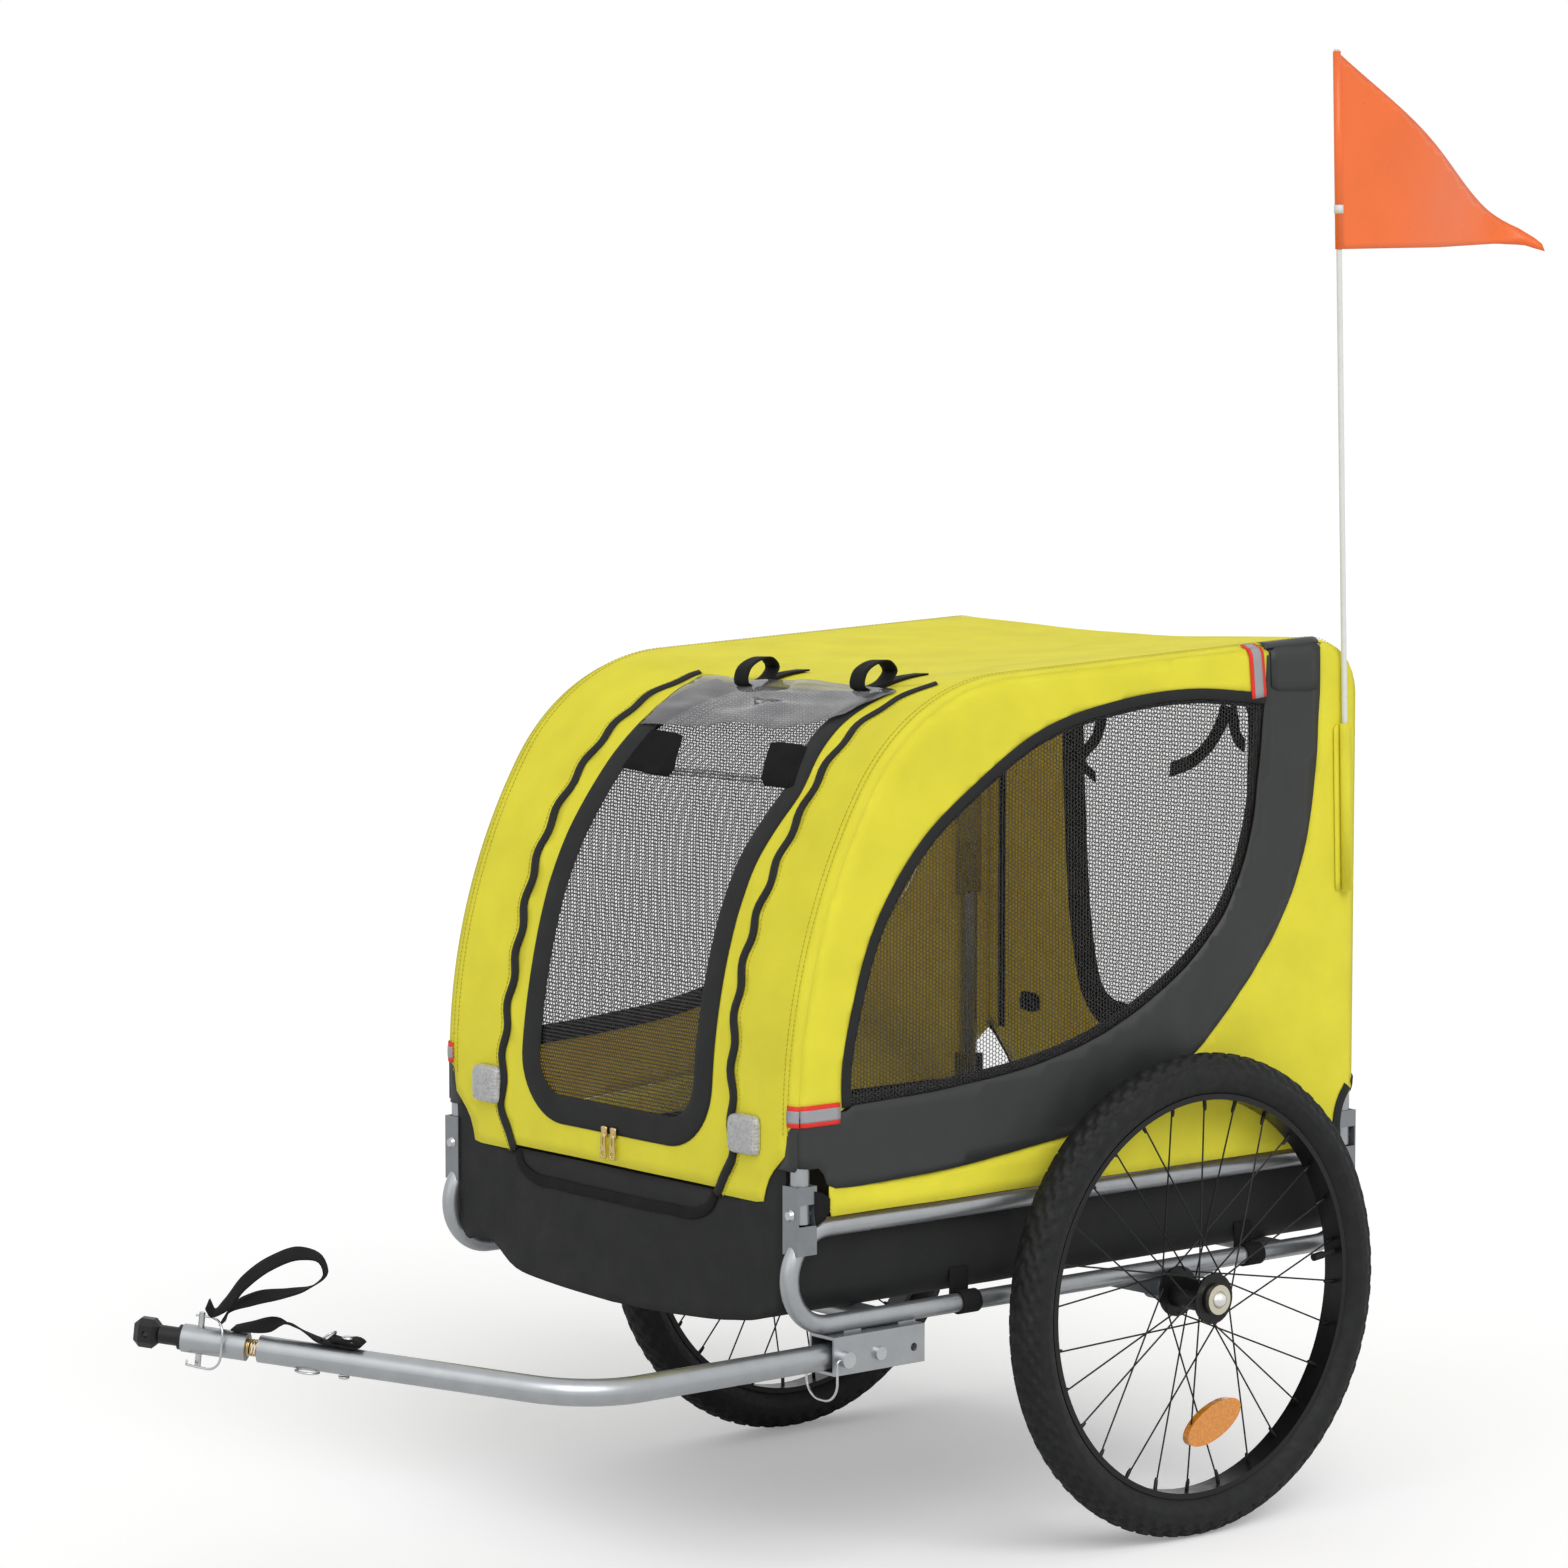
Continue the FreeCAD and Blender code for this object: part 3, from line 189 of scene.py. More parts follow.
# Net: threads round rows of small holes, with each second row set half a hole along
def net_material(name, colour, pitch, opening):
    made, tree, shader = new_material(name)
    place = add_node(tree, "TexCoord").outputs["UV"]
    parts = add_node(tree, "SeparateXYZ", {"Vector": place}).outputs
    row = maths(tree, "MULTIPLY", parts["X"], 1 / pitch)
    shift = maths(tree, "MULTIPLY", maths(tree, "FLOOR", row), 0.5)
    along = maths(tree, "MULTIPLY_ADD", parts["Y"], 1 / pitch, shift)
    squares = []
    for value in (row, along):
        centred = maths(tree, "SUBTRACT", maths(tree, "FRACT", value), 0.5)
        squares.append(maths(tree, "POWER", centred, 2.0))
    hole = opening ** 2
    thread = add_node(tree, "MapRange", {"Value": maths(tree, "ADD", *squares), "From Min": hole * 0.4,
                                         "From Max": hole * 1.4, "To Min": 0.10, "To Max": 1.0})
    set_inputs(tree, shader, {"Base Color": mottled(tree, colour, place, 40.0, 0.15),
                              "Roughness": uneven(tree, place, 60.0, 0.55, 0.75),
                              "Alpha": thread.outputs["Result"]})
    return made


def clear_material(name, colour, roughness, alpha):
    made, tree, shader = new_material(name)
    place = add_node(tree, "TexCoord").outputs["Object"]
    set_inputs(tree, shader, {"Base Color": mottled(tree, colour, place, 30.0, 0.1), "Alpha": alpha,
                              "Roughness": uneven(tree, place, 50.0, roughness * 0.7, roughness * 1.4),
                              "Coat Weight": 0.5})
    return made


# Lens: small square prisms pressed into clear plastic
def lens_material(name, colour, pitch):
    made, tree, shader = new_material(name)
    place = add_node(tree, "TexCoord").outputs["Object"]
    cells = add_node(tree, "TexVoronoi", {"Vector": place, "Scale": 1 / pitch, "Randomness": 0.0},
                     distance="CHEBYCHEV").outputs["Distance"]
    set_inputs(tree, shader, {"Base Color": mottled(tree, colour, place, 300.0, 0.2), "Roughness": 0.15,
                              "Coat Weight": 1.0, "Normal": relief(tree, cells, 0.9, 0.002)})
    return made


yellow_cloth = cloth_material("yellow_cloth", (0.78, 0.70, 0.045), bump=0.2, glow=0.3)
# Inner faces of the cloth: a brighter, more orange copy of the yellow that paints the light shining through the
# cloth as a glow
painted_glow_inside = cloth_material("painted_glow_inside", (0.98, 0.72, 0.12), roughness=0.6, bump=0.2, glow=0.5)
black_cloth = cloth_material("black_cloth", (0.016, 0.0165, 0.017), roughness=0.65, gloss=0.2)
black_nylon = cloth_material("black_nylon", (0.028, 0.030, 0.0295), roughness=0.45, gloss=0.35)
webbing = cloth_material("webbing", (0.010, 0.010, 0.0105), roughness=0.8, pitch=0.0018, bump=0.6, gloss=0.15)
velcro = cloth_material("velcro", (0.011, 0.011, 0.0115), roughness=0.95, pitch=0.0024, bump=0.9, gloss=0.1)
red_tape = cloth_material("red_tape", (0.80, 0.035, 0.02), roughness=0.5)
silver_tape = cloth_material("silver_tape", (0.34, 0.34, 0.36), roughness=0.35, pitch=0.0016)
yellow_thread = cloth_material("yellow_thread", (0.50, 0.44, 0.03), roughness=0.8)
net = net_material("net", (0.012, 0.012, 0.013), 0.0042, 0.465)
door_net_finish = net_material("door_net", (0.012, 0.012, 0.013), 0.0038, 0.42)
vinyl = clear_material("vinyl", (0.17, 0.17, 0.18), 0.07, 0.55)
silver_paint = solid_material("silver_paint", (0.38, 0.395, 0.41), 0.34, metallic=0.85)
grey_paint = solid_material("grey_paint", (0.24, 0.255, 0.27), 0.40, metallic=0.75)
zinc = solid_material("zinc", (0.52, 0.53, 0.54), 0.24, metallic=1.0)
bright_metal = solid_material("bright_metal", (0.80, 0.80, 0.78), 0.16, metallic=1.0)
brass_plate = solid_material("brass_plate", (0.62, 0.46, 0.20), 0.30, metallic=1.0)
passivated = solid_material("passivated", (0.66, 0.63, 0.50), 0.28, metallic=1.0)
black_metal = solid_material("black_metal", (0.006, 0.006, 0.0065), 0.35, gloss=0.3)
rubber = solid_material("rubber", (0.014, 0.0145, 0.0145), 0.6, bump=0.25, grain=500.0, spread=0.2, gloss=0.2)
black_plastic = solid_material("black_plastic", (0.007, 0.007, 0.0075), 0.42, bump=0.15, gloss=0.35)
amber_lens = lens_material("amber_lens", (0.74, 0.26, 0.015), 0.0028)
clear_lens = lens_material("clear_lens", (0.45, 0.45, 0.46), 0.0036)
white_pole = solid_material("white_pole", (0.72, 0.73, 0.71), 0.30, spread=0.03)
orange_vinyl = cloth_material("orange_vinyl", (0.90, 0.16, 0.025), roughness=0.30, bump=0.05, spread=0.04,
                              gloss=0.5)
board = solid_material("board", (0.02, 0.02, 0.02), 0.6)

# Finish of each solid: {} stands for left and for right
node_materials = {
    silver_paint: "{}_loop {}_arch front_cross_tube rear_cross_tube hitch_receiver tow_bar coupler_sleeve",
    grey_paint: "front_{}_bracket rear_{}_bracket {}_axle_mount",
    zinc: "pivot_bolts receiver_bolt receiver_pin receiver_ring coupler_pin coupler_ring {}_bearings",
    bright_metal: "{}_button",
    brass_plate: "coupler_spring zip_sliders",
    passivated: "{}_axle",
    black_metal: "{}_rim {}_spokes {}_hub",
    rubber: "{}_valve {}_tyre",
    amber_lens: "{}_wheel_reflector",
    clear_lens: "front_reflectors",
    black_plastic: "hitch_rod",
    webbing: "safety_strap strap_anchor tub_bands carry_loops",
    black_cloth: "floor_tub",
    board: "floor_board",
    yellow_cloth: "roof_cover front_door {}_side_panel flag_pocket",
    net: "door_mesh rear_mesh {}_side_mesh",
    white_pole: "flag_pole",
    orange_vinyl: "flag",
}
for finish, patterns in node_materials.items():
    for pattern in patterns.split():
        for side_name in ("left", "right"):
            slots = bpy.data.objects[pattern.format(side_name)].data.materials
            slots.clear()
            slots.append(finish)


# Cover line seen from the side: front upright, two front arcs, sloping roof, rear corner, rear upright
cover_outset = 0.0115
edge_radius = cover_outset
arch_front, arch_rear = 0.489 + cover_outset, -0.258 - cover_outset
lower_radius, upper_radius, rear_radius = 0.588 + cover_outset, 0.218 + cover_outset, 0.050 + cover_outset
straight_top, line_bottom = 0.470, 0.368
lower_turn, roof_slope = math.radians(32.0), math.radians(2.7)


def arc_points(centre, radius, first, last, count=70):
    angles = np.linspace(first, last, count)
    return np.stack([centre[0] + radius * np.cos(angles), centre[1] + radius * np.sin(angles)], axis=1)


def spread_points(points, step):
    points = np.asarray(points, float)
    lengths = np.concatenate([[0.0], np.cumsum(np.hypot(*np.diff(points, axis=0).T))])
    places = np.linspace(0, lengths[-1], max(2, int(round(lengths[-1] / step)) + 1))
    return np.stack([np.interp(places, lengths, points[:, k]) for k in range(points.shape[1])], axis=1)


def cover_line():
    lower_centre = (arch_front - lower_radius, straight_top)
    gap = lower_radius - upper_radius
    upper_centre = (lower_centre[0] + gap * math.cos(lower_turn), lower_centre[1] + gap * math.sin(lower_turn))
    front = arc_points(lower_centre, lower_radius, 0, lower_turn)
    top = arc_points(upper_centre, upper_radius, lower_turn, math.pi / 2 - roof_slope)
    corner_x = arch_rear + rear_radius
    roof_end_x = corner_x + rear_radius * math.sin(roof_slope)
    roof_end_z = top[-1][1] + (top[-1][0] - roof_end_x) * math.tan(roof_slope)
    corner_centre = (corner_x, roof_end_z - rear_radius * math.cos(roof_slope))
    corner = arc_points(corner_centre, rear_radius, math.pi / 2 - roof_slope, math.pi)
    points = np.concatenate([[(arch_front, line_bottom)], front, top[1:], corner, [(arch_rear, line_bottom)]])
    return spread_points(points, 0.003)


line = cover_line()
line_run = np.concatenate([[0.0], np.cumsum(np.hypot(*np.diff(line, axis=0).T))])
line_length = line_run[-1]
line_heading = np.gradient(line, axis=0)
line_heading /= np.linalg.norm(line_heading, axis=1)[:, None]
line_normal = np.stack([line_heading[:, 1], -line_heading[:, 0]], axis=1)
seam_inset = edge_radius * (1 - math.pi / 4)
wrap_half = half_width - seam_inset


def wave_field(a, b, scale, seed):
    return np.array([noise.noise(Vector((p * scale, q * scale, seed))) for p, q in zip(a, b)])


# Slack of the cover between the arches, deepest in the middle of the roof
def wrap_slack(run, y):
    middle = np.clip(1 - (y / (half_width - 2 * edge_radius)) ** 2, 0, 1)
    roof = np.interp(run, [0.0, 0.08, 0.30, 0.60, 0.95, 1.15, 1.30, line_length],
                     [0.0, 0.003, 0.008, 0.014, 0.012, 0.006, 0.003, 0.0])
    return -roof * middle ** 1.5 + 0.0022 * wave_field(run, y, 9.0, 3.0) * middle


# Places on the cover: run along the cover line and y across it, or x and z on a side
def wrap_place(run, y, lift):
    x, z = np.interp(run, line_run, line[:, 0]), np.interp(run, line_run, line[:, 1])
    out_x = np.interp(run, line_run, line_normal[:, 0])
    out_z = np.interp(run, line_run, line_normal[:, 1])
    turn = np.clip(np.abs(y) - (half_width - edge_radius), 0, None) / edge_radius
    flat_y = np.minimum(np.abs(y), half_width - edge_radius)
    raised = lift + wrap_slack(run, y)
    out = edge_radius * (np.cos(turn) - 1) + raised * np.cos(turn)
    across = np.sign(y) * (flat_y + (edge_radius + raised) * np.sin(turn))
    return np.stack([axle_x + x + out_x * out, across, z + out_z * out], axis=1)


def side_place(side):
    def place(x, z, lift):
        away = (x[:, None] - line[None, :, 0]) ** 2 + (z[:, None] - line[None, :, 1]) ** 2
        nearest = np.argmin(away, axis=1)
        normal = line_normal[nearest]
        depth = -((x - line[nearest, 0]) * normal[:, 0] + (z - line[nearest, 1]) * normal[:, 1])
        turn = np.clip((edge_radius - depth) / edge_radius, 0, math.pi / 4)
        shift = np.where(turn > 0, depth - edge_radius * (1 - np.sin(turn)), 0.0)
        slack = np.clip((depth - 0.03) / 0.10, 0, 1)
        raised = lift + slack * (0.0016 * wave_field(x, z, 11.0, 7.0) - 0.0010)
        move = shift + raised * np.sin(turn)
        y = half_width - edge_radius * (1 - np.cos(turn)) + raised * np.cos(turn)
        return np.stack([axle_x + x + normal[:, 0] * move, side * y, z + normal[:, 1] * move], axis=1)
    return place


# Mesh makers for flat outlines that a place function bends onto a surface
def new_mesh(name, points, faces, finish, flat=None, smooth=True):
    mesh = bpy.data.meshes.new(name)
    mesh.from_pydata([tuple(p) for p in points], [], [tuple(f) for f in faces])
    if flat is not None:
        corners = np.zeros(len(mesh.loops), int)
        mesh.loops.foreach_get("vertex_index", corners)
        layer = mesh.uv_layers.new(name="flat")
        layer.data.foreach_set("uv", np.asarray(flat, np.float32)[corners].ravel())
    if smooth:
        mesh.polygons.foreach_set("use_smooth", [True] * len(mesh.polygons))
    mesh.materials.append(finish)
    made = bpy.data.objects.new(name, mesh)
    bpy.context.scene.collection.objects.link(made)
    return made


def thicken(piece, thickness, offset=-1.0):
    modifier = piece.modifiers.new("thickness", "SOLIDIFY")
    modifier.thickness = thickness
    modifier.offset = offset
    return piece


# Faces of a grid of points, row by row. A closed way joins its last points to its first.
def grid_faces(rows, columns, closed_rows=False, closed_columns=False, flip=False):
    faces = []
    for row in range(rows if closed_rows else rows - 1):
        this, following = row * columns, (row + 1) % rows * columns
        for column in range(columns if closed_columns else columns - 1):
            after = (column + 1) % columns
            face = (this + column, this + after, following + after, following + column)
            faces.append((face[0], face[3], face[2], face[1]) if flip else face)
    return faces


# Points round a centre, from the end of one half axis to the other
def ring_points(centre, first, second, count):
    angles = [2 * math.pi * corner / count for corner in range(count)]
    return [centre + first * math.cos(angle) + second * math.sin(angle) for angle in angles]


# Faces of a tube of rings with a flat end on each side
def tube_faces(rings, count):
    ends = [tuple(range(count))[::-1], tuple(range((rings - 1) * count, rings * count))]
    return grid_faces(rings, count, closed_columns=True) + ends


def apply_modifiers(piece):
    bpy.context.view_layer.objects.active = piece
    for modifier in list(piece.modifiers):
        bpy.ops.object.modifier_apply(modifier=modifier.name)


def attach(piece, body, slot, *nodes):
    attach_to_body(piece, body)
    if nodes:
        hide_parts(*nodes)
    return piece


def inside(points, outline):
    x, y = points[:, 0][:, None], points[:, 1][:, None]
    first = np.asarray(outline)
    second = np.roll(first, -1, axis=0)
    crosses = (first[:, 1] > y) != (second[:, 1] > y)
    rise = np.where(second[:, 1] == first[:, 1], 1e-12, second[:, 1] - first[:, 1])
    at = first[:, 0] + (y - first[:, 1]) / rise * (second[:, 0] - first[:, 0])
    return np.sum(crosses & (x < at), axis=1) % 2 == 1


def closed_points(outline, step):
    outline = np.asarray(outline, float)
    return spread_points(np.concatenate([outline, outline[:1]]), step)[:-1]


# Size that a sheet was cut to: width, length and area
cut_sizes = {}


def ring_area(ring):
    after = np.roll(ring, -1, axis=0)
    return abs(np.sum(ring[:, 0] * after[:, 1] - after[:, 0] * ring[:, 1])) / 2


def cut_size(rings):
    width, length = np.ptp(rings[0], axis=0)
    area = ring_area(rings[0]) - sum(ring_area(ring) for ring in rings[1:])
    return float(width), float(length), float(area)


def panel(name, outline, place, finish, holes=(), step=0.012, lift=0.0, thickness=cloth, flip=False, inner=None):
    rings = [closed_points(ring, step) for ring in (outline, *holes)]
    low, high = rings[0].min(axis=0), rings[0].max(axis=0)
    grid = np.stack(np.meshgrid(np.arange(low[0], high[0], step), np.arange(low[1], high[1], step)), -1)
    grid = grid.reshape(-1, 2)
    edges_near = np.concatenate(rings)
    gap = np.min(np.linalg.norm(grid[:, None] - edges_near[None], axis=2), axis=1)
    grid = grid[gap > step * 0.55]
    points = [Vector(p) for p in np.concatenate(rings + [grid])]
    edges = []
    start = 0
    for ring in rings:
        count = len(ring)
        edges += [(start + k, start + (k + 1) % count) for k in range(count)]
        start += count
    flat, _, faces, _, _, _ = delaunay_2d_cdt(points, edges, [], 0, 1e-6)
    flat = np.array([tuple(p) for p in flat])
    faces = np.array(faces)
    middles = flat[faces].mean(axis=1)
    keep = inside(middles, rings[0])
    for ring in rings[1:]:
        keep &= ~inside(middles, ring)
    faces = faces[keep]
    used = np.unique(faces)
    order = np.zeros(len(flat), int)
    order[used] = np.arange(len(used))
    faces = order[faces]
    flat = flat[used]
    if flip:
        faces = faces[:, ::-1]
    made = new_mesh(name, place(flat[:, 0], flat[:, 1], np.full(len(flat), lift)), faces, finish, flat)
    cut_sizes[name] = cut_size(rings)
    if thickness:
        thicken(made, thickness)
    if inner:
        made.data.materials.append(inner)
        made.modifiers["thickness"].material_offset = 1
    return made


def path_sides(path, closed):
    if closed:
        heading = np.roll(path, -1, axis=0) - np.roll(path, 1, axis=0)
    else:
        heading = np.gradient(path, axis=0)
    heading /= np.linalg.norm(heading, axis=1)[:, None]
    return np.stack([-heading[:, 1], heading[:, 0]], axis=1)


# A band sewn along a path: crowned in the middle, its edges down on the cloth
def strip(name, path, width, place, finish, lift=0.0004, crown=0.0008, closed=False, flip=False):
    step = 0.007
    path = closed_points(path, step) if closed else spread_points(path, step)
    across = np.linspace(-1, 1, 7)
    rows, columns = len(path), len(across)
    flat = path[:, None] + path_sides(path, closed)[:, None] * (across * width / 2)[None, :, None]
    points = place(*flat.reshape(-1, 2).T, np.tile(lift + crown * (1 - across ** 2), rows))
    faces = grid_faces(rows, columns, closed_rows=closed, flip=flip)
    uv = np.stack([np.repeat(np.arange(rows) * step, columns), np.tile(across * width / 2, rows)], axis=1)
    return thicken(new_mesh(name, points, faces, finish, uv), 0.0006)


# Sewing thread: short raised stitches along a path over the roof
def stitches(name, path):
    pitch, length, width, lift = 0.0048, 0.0034, 0.0009, 0.0003
    path = spread_points(path, pitch)
    sides = path_sides(path, False)
    ahead = np.stack([sides[:, 1], -sides[:, 0]], axis=1)
    corners = ((-1, -1, 0), (1, -1, 0), (1, 1, 0), (-1, 1, 0),
               (-0.6, -0.5, 1), (0.6, -0.5, 1), (0.6, 0.5, 1), (-0.6, 0.5, 1))
    flat = np.stack([path + ahead * (along * length / 2) + sides * (across * width / 2)
                     for along, across, top in corners], axis=1).reshape(-1, 2)
    height = np.tile([lift + top * width * 0.5 for along, across, top in corners], len(path))
    cell = ((4, 5, 6, 7), (0, 1, 5, 4), (1, 2, 6, 5), (2, 3, 7, 6), (3, 0, 4, 7), (3, 2, 1, 0))
    faces = [tuple(8 * index + corner for corner in face) for index in range(len(path)) for face in cell]
    on_cover(new_mesh(name, wrap_place(*flat.T, height), faces, yellow_thread, flat), "yellow_fabric")


# Pieces of the cover go on the chassis, with their modifiers applied and a mesh of their own
def on_cover(piece, slot, *nodes):
    attach(piece, "chassis", slot, *nodes)
    apply_modifiers(piece)
    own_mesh(piece)
    return piece


def sewn(name, path, width, finish, place=wrap_place, **settings):
    on_cover(strip(name, path, width, place, finish, **settings), "black_webbing")


def rounded(corners, radius, count=6):
    points = []
    corners = np.asarray(corners, float)
    for index, corner in enumerate(corners):
        before = corners[index - 1] - corner
        after = corners[(index + 1) % len(corners)] - corner
        reach = min(radius, np.linalg.norm(before) * 0.49, np.linalg.norm(after) * 0.49)
        first = corner + before / np.linalg.norm(before) * reach
        last = corner + after / np.linalg.norm(after) * reach
        for share in np.linspace(0, 1, count):
            points.append((1 - share) ** 2 * first + 2 * share * (1 - share) * corner + share ** 2 * last)
    return np.array(points)


def lengths_along(points):
    return np.concatenate([[0.0], np.cumsum(np.linalg.norm(np.diff(points, axis=0), axis=1))])


def smooth_curve(points, step=0.012):
    points = np.asarray(points, float)
    lengths = lengths_along(points)
    slopes = np.gradient(points, lengths, axis=0)
    made = []
    for index in range(len(points) - 1):
        span = lengths[index + 1] - lengths[index]
        for share in np.arange(0, 1, min(0.5, step / span)):
            rest = 1 - share
            made.append(points[index] * (1 + 2 * share) * rest ** 2
                        + points[index + 1] * (3 - 2 * share) * share ** 2
                        + slopes[index] * span * share * rest ** 2
                        - slopes[index + 1] * span * share ** 2 * rest)
    return np.array(made + [points[-1]])


def mirrored_outline(half):
    half = np.asarray(half, float)
    return np.concatenate([half, (half * (1, -1))[::-1]])


# Front and roof
front_edge, rear_edge = 0.0215, line_length - 0.016
cutout_y, cutout_run = 0.245, 0.062
zip_y = 0.187
door_top = 0.605
window_half, window_low, window_top = 0.142, 0.073, 0.590
binding_width, narrow_width = 0.029, 0.011
rear_window_low, rear_window_top = 0.470, 0.860


# The door sits a little to the left at its top
def door_lean(run):
    return np.interp(run, [0.30, 0.36, 0.44, 0.53, 0.605], [0.0, 0.004, 0.015, 0.024, 0.050])


def zip_path(side):
    runs = np.arange(front_edge, door_top, 0.006)
    y = zip_y + 0.0030 * np.sin(runs * 118.0) + 0.003 * np.sin(runs * 21.0)
    foot = np.clip(1 - (runs - front_edge) / 0.045, 0, 1)
    return np.stack([runs, side * (y - 0.022 * foot ** 2) + door_lean(runs)], axis=1)


tape_low_run = 0.101
corner_half = [(front_edge, 0.2385), (0.036, 0.2425), (0.049, 0.2485), (0.060, 0.259), (0.070, 0.2715),
               (0.085, 0.2745), (tape_low_run, 0.2760), (tape_low_run + 0.0005, wrap_half)]
rear_half = [(rear_edge - cutout_run, wrap_half), (rear_edge - 0.042, cutout_y + 0.028),
             (rear_edge - 0.022, cutout_y + 0.010), (rear_edge, cutout_y)]
wrap_outline = mirrored_outline([(front_edge, 0.0)] + corner_half + rear_half + [(rear_edge, 0.0)])
door_notch = np.concatenate([[(-0.05, -zip_y)], zip_path(-1), zip_path(1)[::-1], [(-0.05, zip_y)]])


def rear_run(z):
    return line_length - (z - line_bottom)


rear_window = rounded(mirrored_outline([(rear_run(rear_window_top), 0.152), (rear_run(0.60), 0.140),
                                        (rear_run(rear_window_low), 0.112)]), 0.05)
window_corner = 0.055
window_bend = arc_points((window_low + window_corner, window_half - window_corner), window_corner, math.pi,
                         math.pi / 2)


# One side of the door's window from its low middle up to its top
def window_side(side):
    runs = np.array([0.30, 0.36, 0.40, 0.435, 0.474, 0.52, window_top])
    near = np.array([0.142, 0.143, 0.150, 0.158, 0.149, 0.142, 0.138])
    far = np.array([0.142, 0.142, 0.141, 0.140, 0.138, 0.136, 0.134])
    y = side * (near if side > 0 else far) + door_lean(runs)
    upper = smooth_curve(np.stack([runs, y], axis=1))
    return np.concatenate([window_bend * (1, side), upper])


door_window = np.concatenate([window_side(1)[::-1], [(window_low, 0.0)], window_side(-1)])
# The inner faces of these pieces take the painted glow of light through the cloth
on_cover(panel("roof_cloth", wrap_outline, wrap_place, yellow_cloth, holes=(door_notch, rear_window), flip=True,
               inner=painted_glow_inside), "yellow_fabric", "roof_cover")
door_outline = np.concatenate([zip_path(-1)[1:] + (0, 0.002), (zip_path(1)[1:] - (0, 0.002))[::-1]])
on_cover(panel("door_cloth", door_outline, wrap_place, yellow_cloth, holes=(door_window,), flip=True,
               inner=painted_glow_inside), "yellow_fabric", "front_door")
on_cover(panel("door_net", door_window, wrap_place, door_net_finish, thickness=0, lift=-0.0014, flip=True),
         "black_mesh", "door_mesh")
on_cover(panel("rear_net", rear_window, wrap_place, net, thickness=0, lift=-0.0007, flip=True),
         "black_mesh", "rear_mesh")
sewn("door_binding", door_window, binding_width, black_cloth, flip=True)
sewn("rear_binding", rear_window, binding_width, black_cloth, closed=True, flip=True)
sewn("rear_inner_binding", rear_window, 0.036, black_cloth, closed=True, lift=-0.0011, crown=-0.0003)
for side, side_name in both_sides:
    sewn(side_name + "_zip", zip_path(side), narrow_width, black_cloth, lift=0.0006, crown=0.0022, flip=True)

# Sides
window_edge = np.array([(0.440, 0.484), (0.441, 0.501), (0.425, 0.587), (0.400, 0.654), (0.346, 0.728),
                        (0.268, 0.787), (0.188, 0.832), (0.079, 0.858), (-0.019, 0.865), (-0.128, 0.856)])
swoosh_top = np.array([(-0.128, 0.856), (-0.120, 0.785), (-0.110, 0.722), (-0.088, 0.662), (-0.036, 0.600),
                       (0.034, 0.554), (0.104, 0.524), (0.186, 0.503), (0.293, 0.491), (0.440, 0.484)])
swoosh_low = np.array([(0.507, 0.414), (0.451, 0.406), (0.371, 0.407), (0.293, 0.411), (0.186, 0.422),
                       (0.103, 0.434), (0.030, 0.460), (-0.033, 0.496), (-0.095, 0.553), (-0.153, 0.622),
                       (-0.189, 0.704), (-0.203, 0.787), (-0.209, 0.861)])
side_bottom, side_cut_front, side_cut_rear, side_cut_z = 0.379, 0.461, -0.240, 0.425


def line_part(first, last, inset):
    picked = (line_run >= first) & (line_run <= last)
    return line[picked] - line_normal[picked] * inset


def run_at(x=None, z=None, rear=False):
    if z is not None:
        picked = np.where(line_run > line_length / 2 if rear else line_run < line_length / 2)[0]
        return line_run[picked[np.argmin(np.abs(line[picked, 1] - z))]]
    picked = np.where((line_run > 0.5) & (line_run < line_length - 0.3))[0]
    return line_run[picked[np.argmin(np.abs(line[picked, 0] - x))]]


wrinkle_top_z, wrinkle_front_x, wrinkle_fade = 0.830, 0.425, 0.05


# The same places with soft outward wrinkles, which fade out below the tapes at both ends
def wrinkled(place, height):
    def put(along, up, lift):
        fade = np.clip((wrinkle_top_z - up) / wrinkle_fade, 0, 1)
        fade *= np.clip((wrinkle_front_x - along) / wrinkle_fade, 0, 1)
        return place(along, up, lift + height * fade * (1 + wave_field(along * 2.6, up, 20.0, 3.0)))
    return put


window_curve = smooth_curve(window_edge)
swoosh_top_curve = smooth_curve(swoosh_top)
swoosh_low_curve = smooth_curve(swoosh_low)
tape_front_z, tape_rear_x = 0.478, -0.132
upper_outline = np.concatenate([line_part(run_at(z=tape_front_z), run_at(x=tape_rear_x), seam_inset),
                                [(tape_rear_x, 0.866)], window_curve[::-1], [(0.452, tape_front_z)]])
swoosh_outline = np.concatenate([
    [(0.440, 0.480)], line_part(run_at(z=0.428), run_at(z=0.480), seam_inset)[::-1], [(0.470, 0.428)],
    [(0.466, 0.412)], swoosh_low_curve[4:], line_part(run_at(x=-0.130), run_at(x=-0.209), seam_inset)[::-1],
    swoosh_top_curve])
lower_outline = np.concatenate([
    [(side_cut_front, 0.412)], swoosh_low_curve[4:],
    line_part(run_at(x=-0.207), run_at(z=side_cut_z + 0.010, rear=True), seam_inset),
    [(side_cut_rear - 0.012, side_cut_z), (side_cut_rear, side_cut_z - 0.020), (side_cut_rear, side_bottom),
     (side_cut_front, side_bottom)]])
window_outline = np.concatenate([window_curve[:-1], swoosh_top_curve[:-1]])
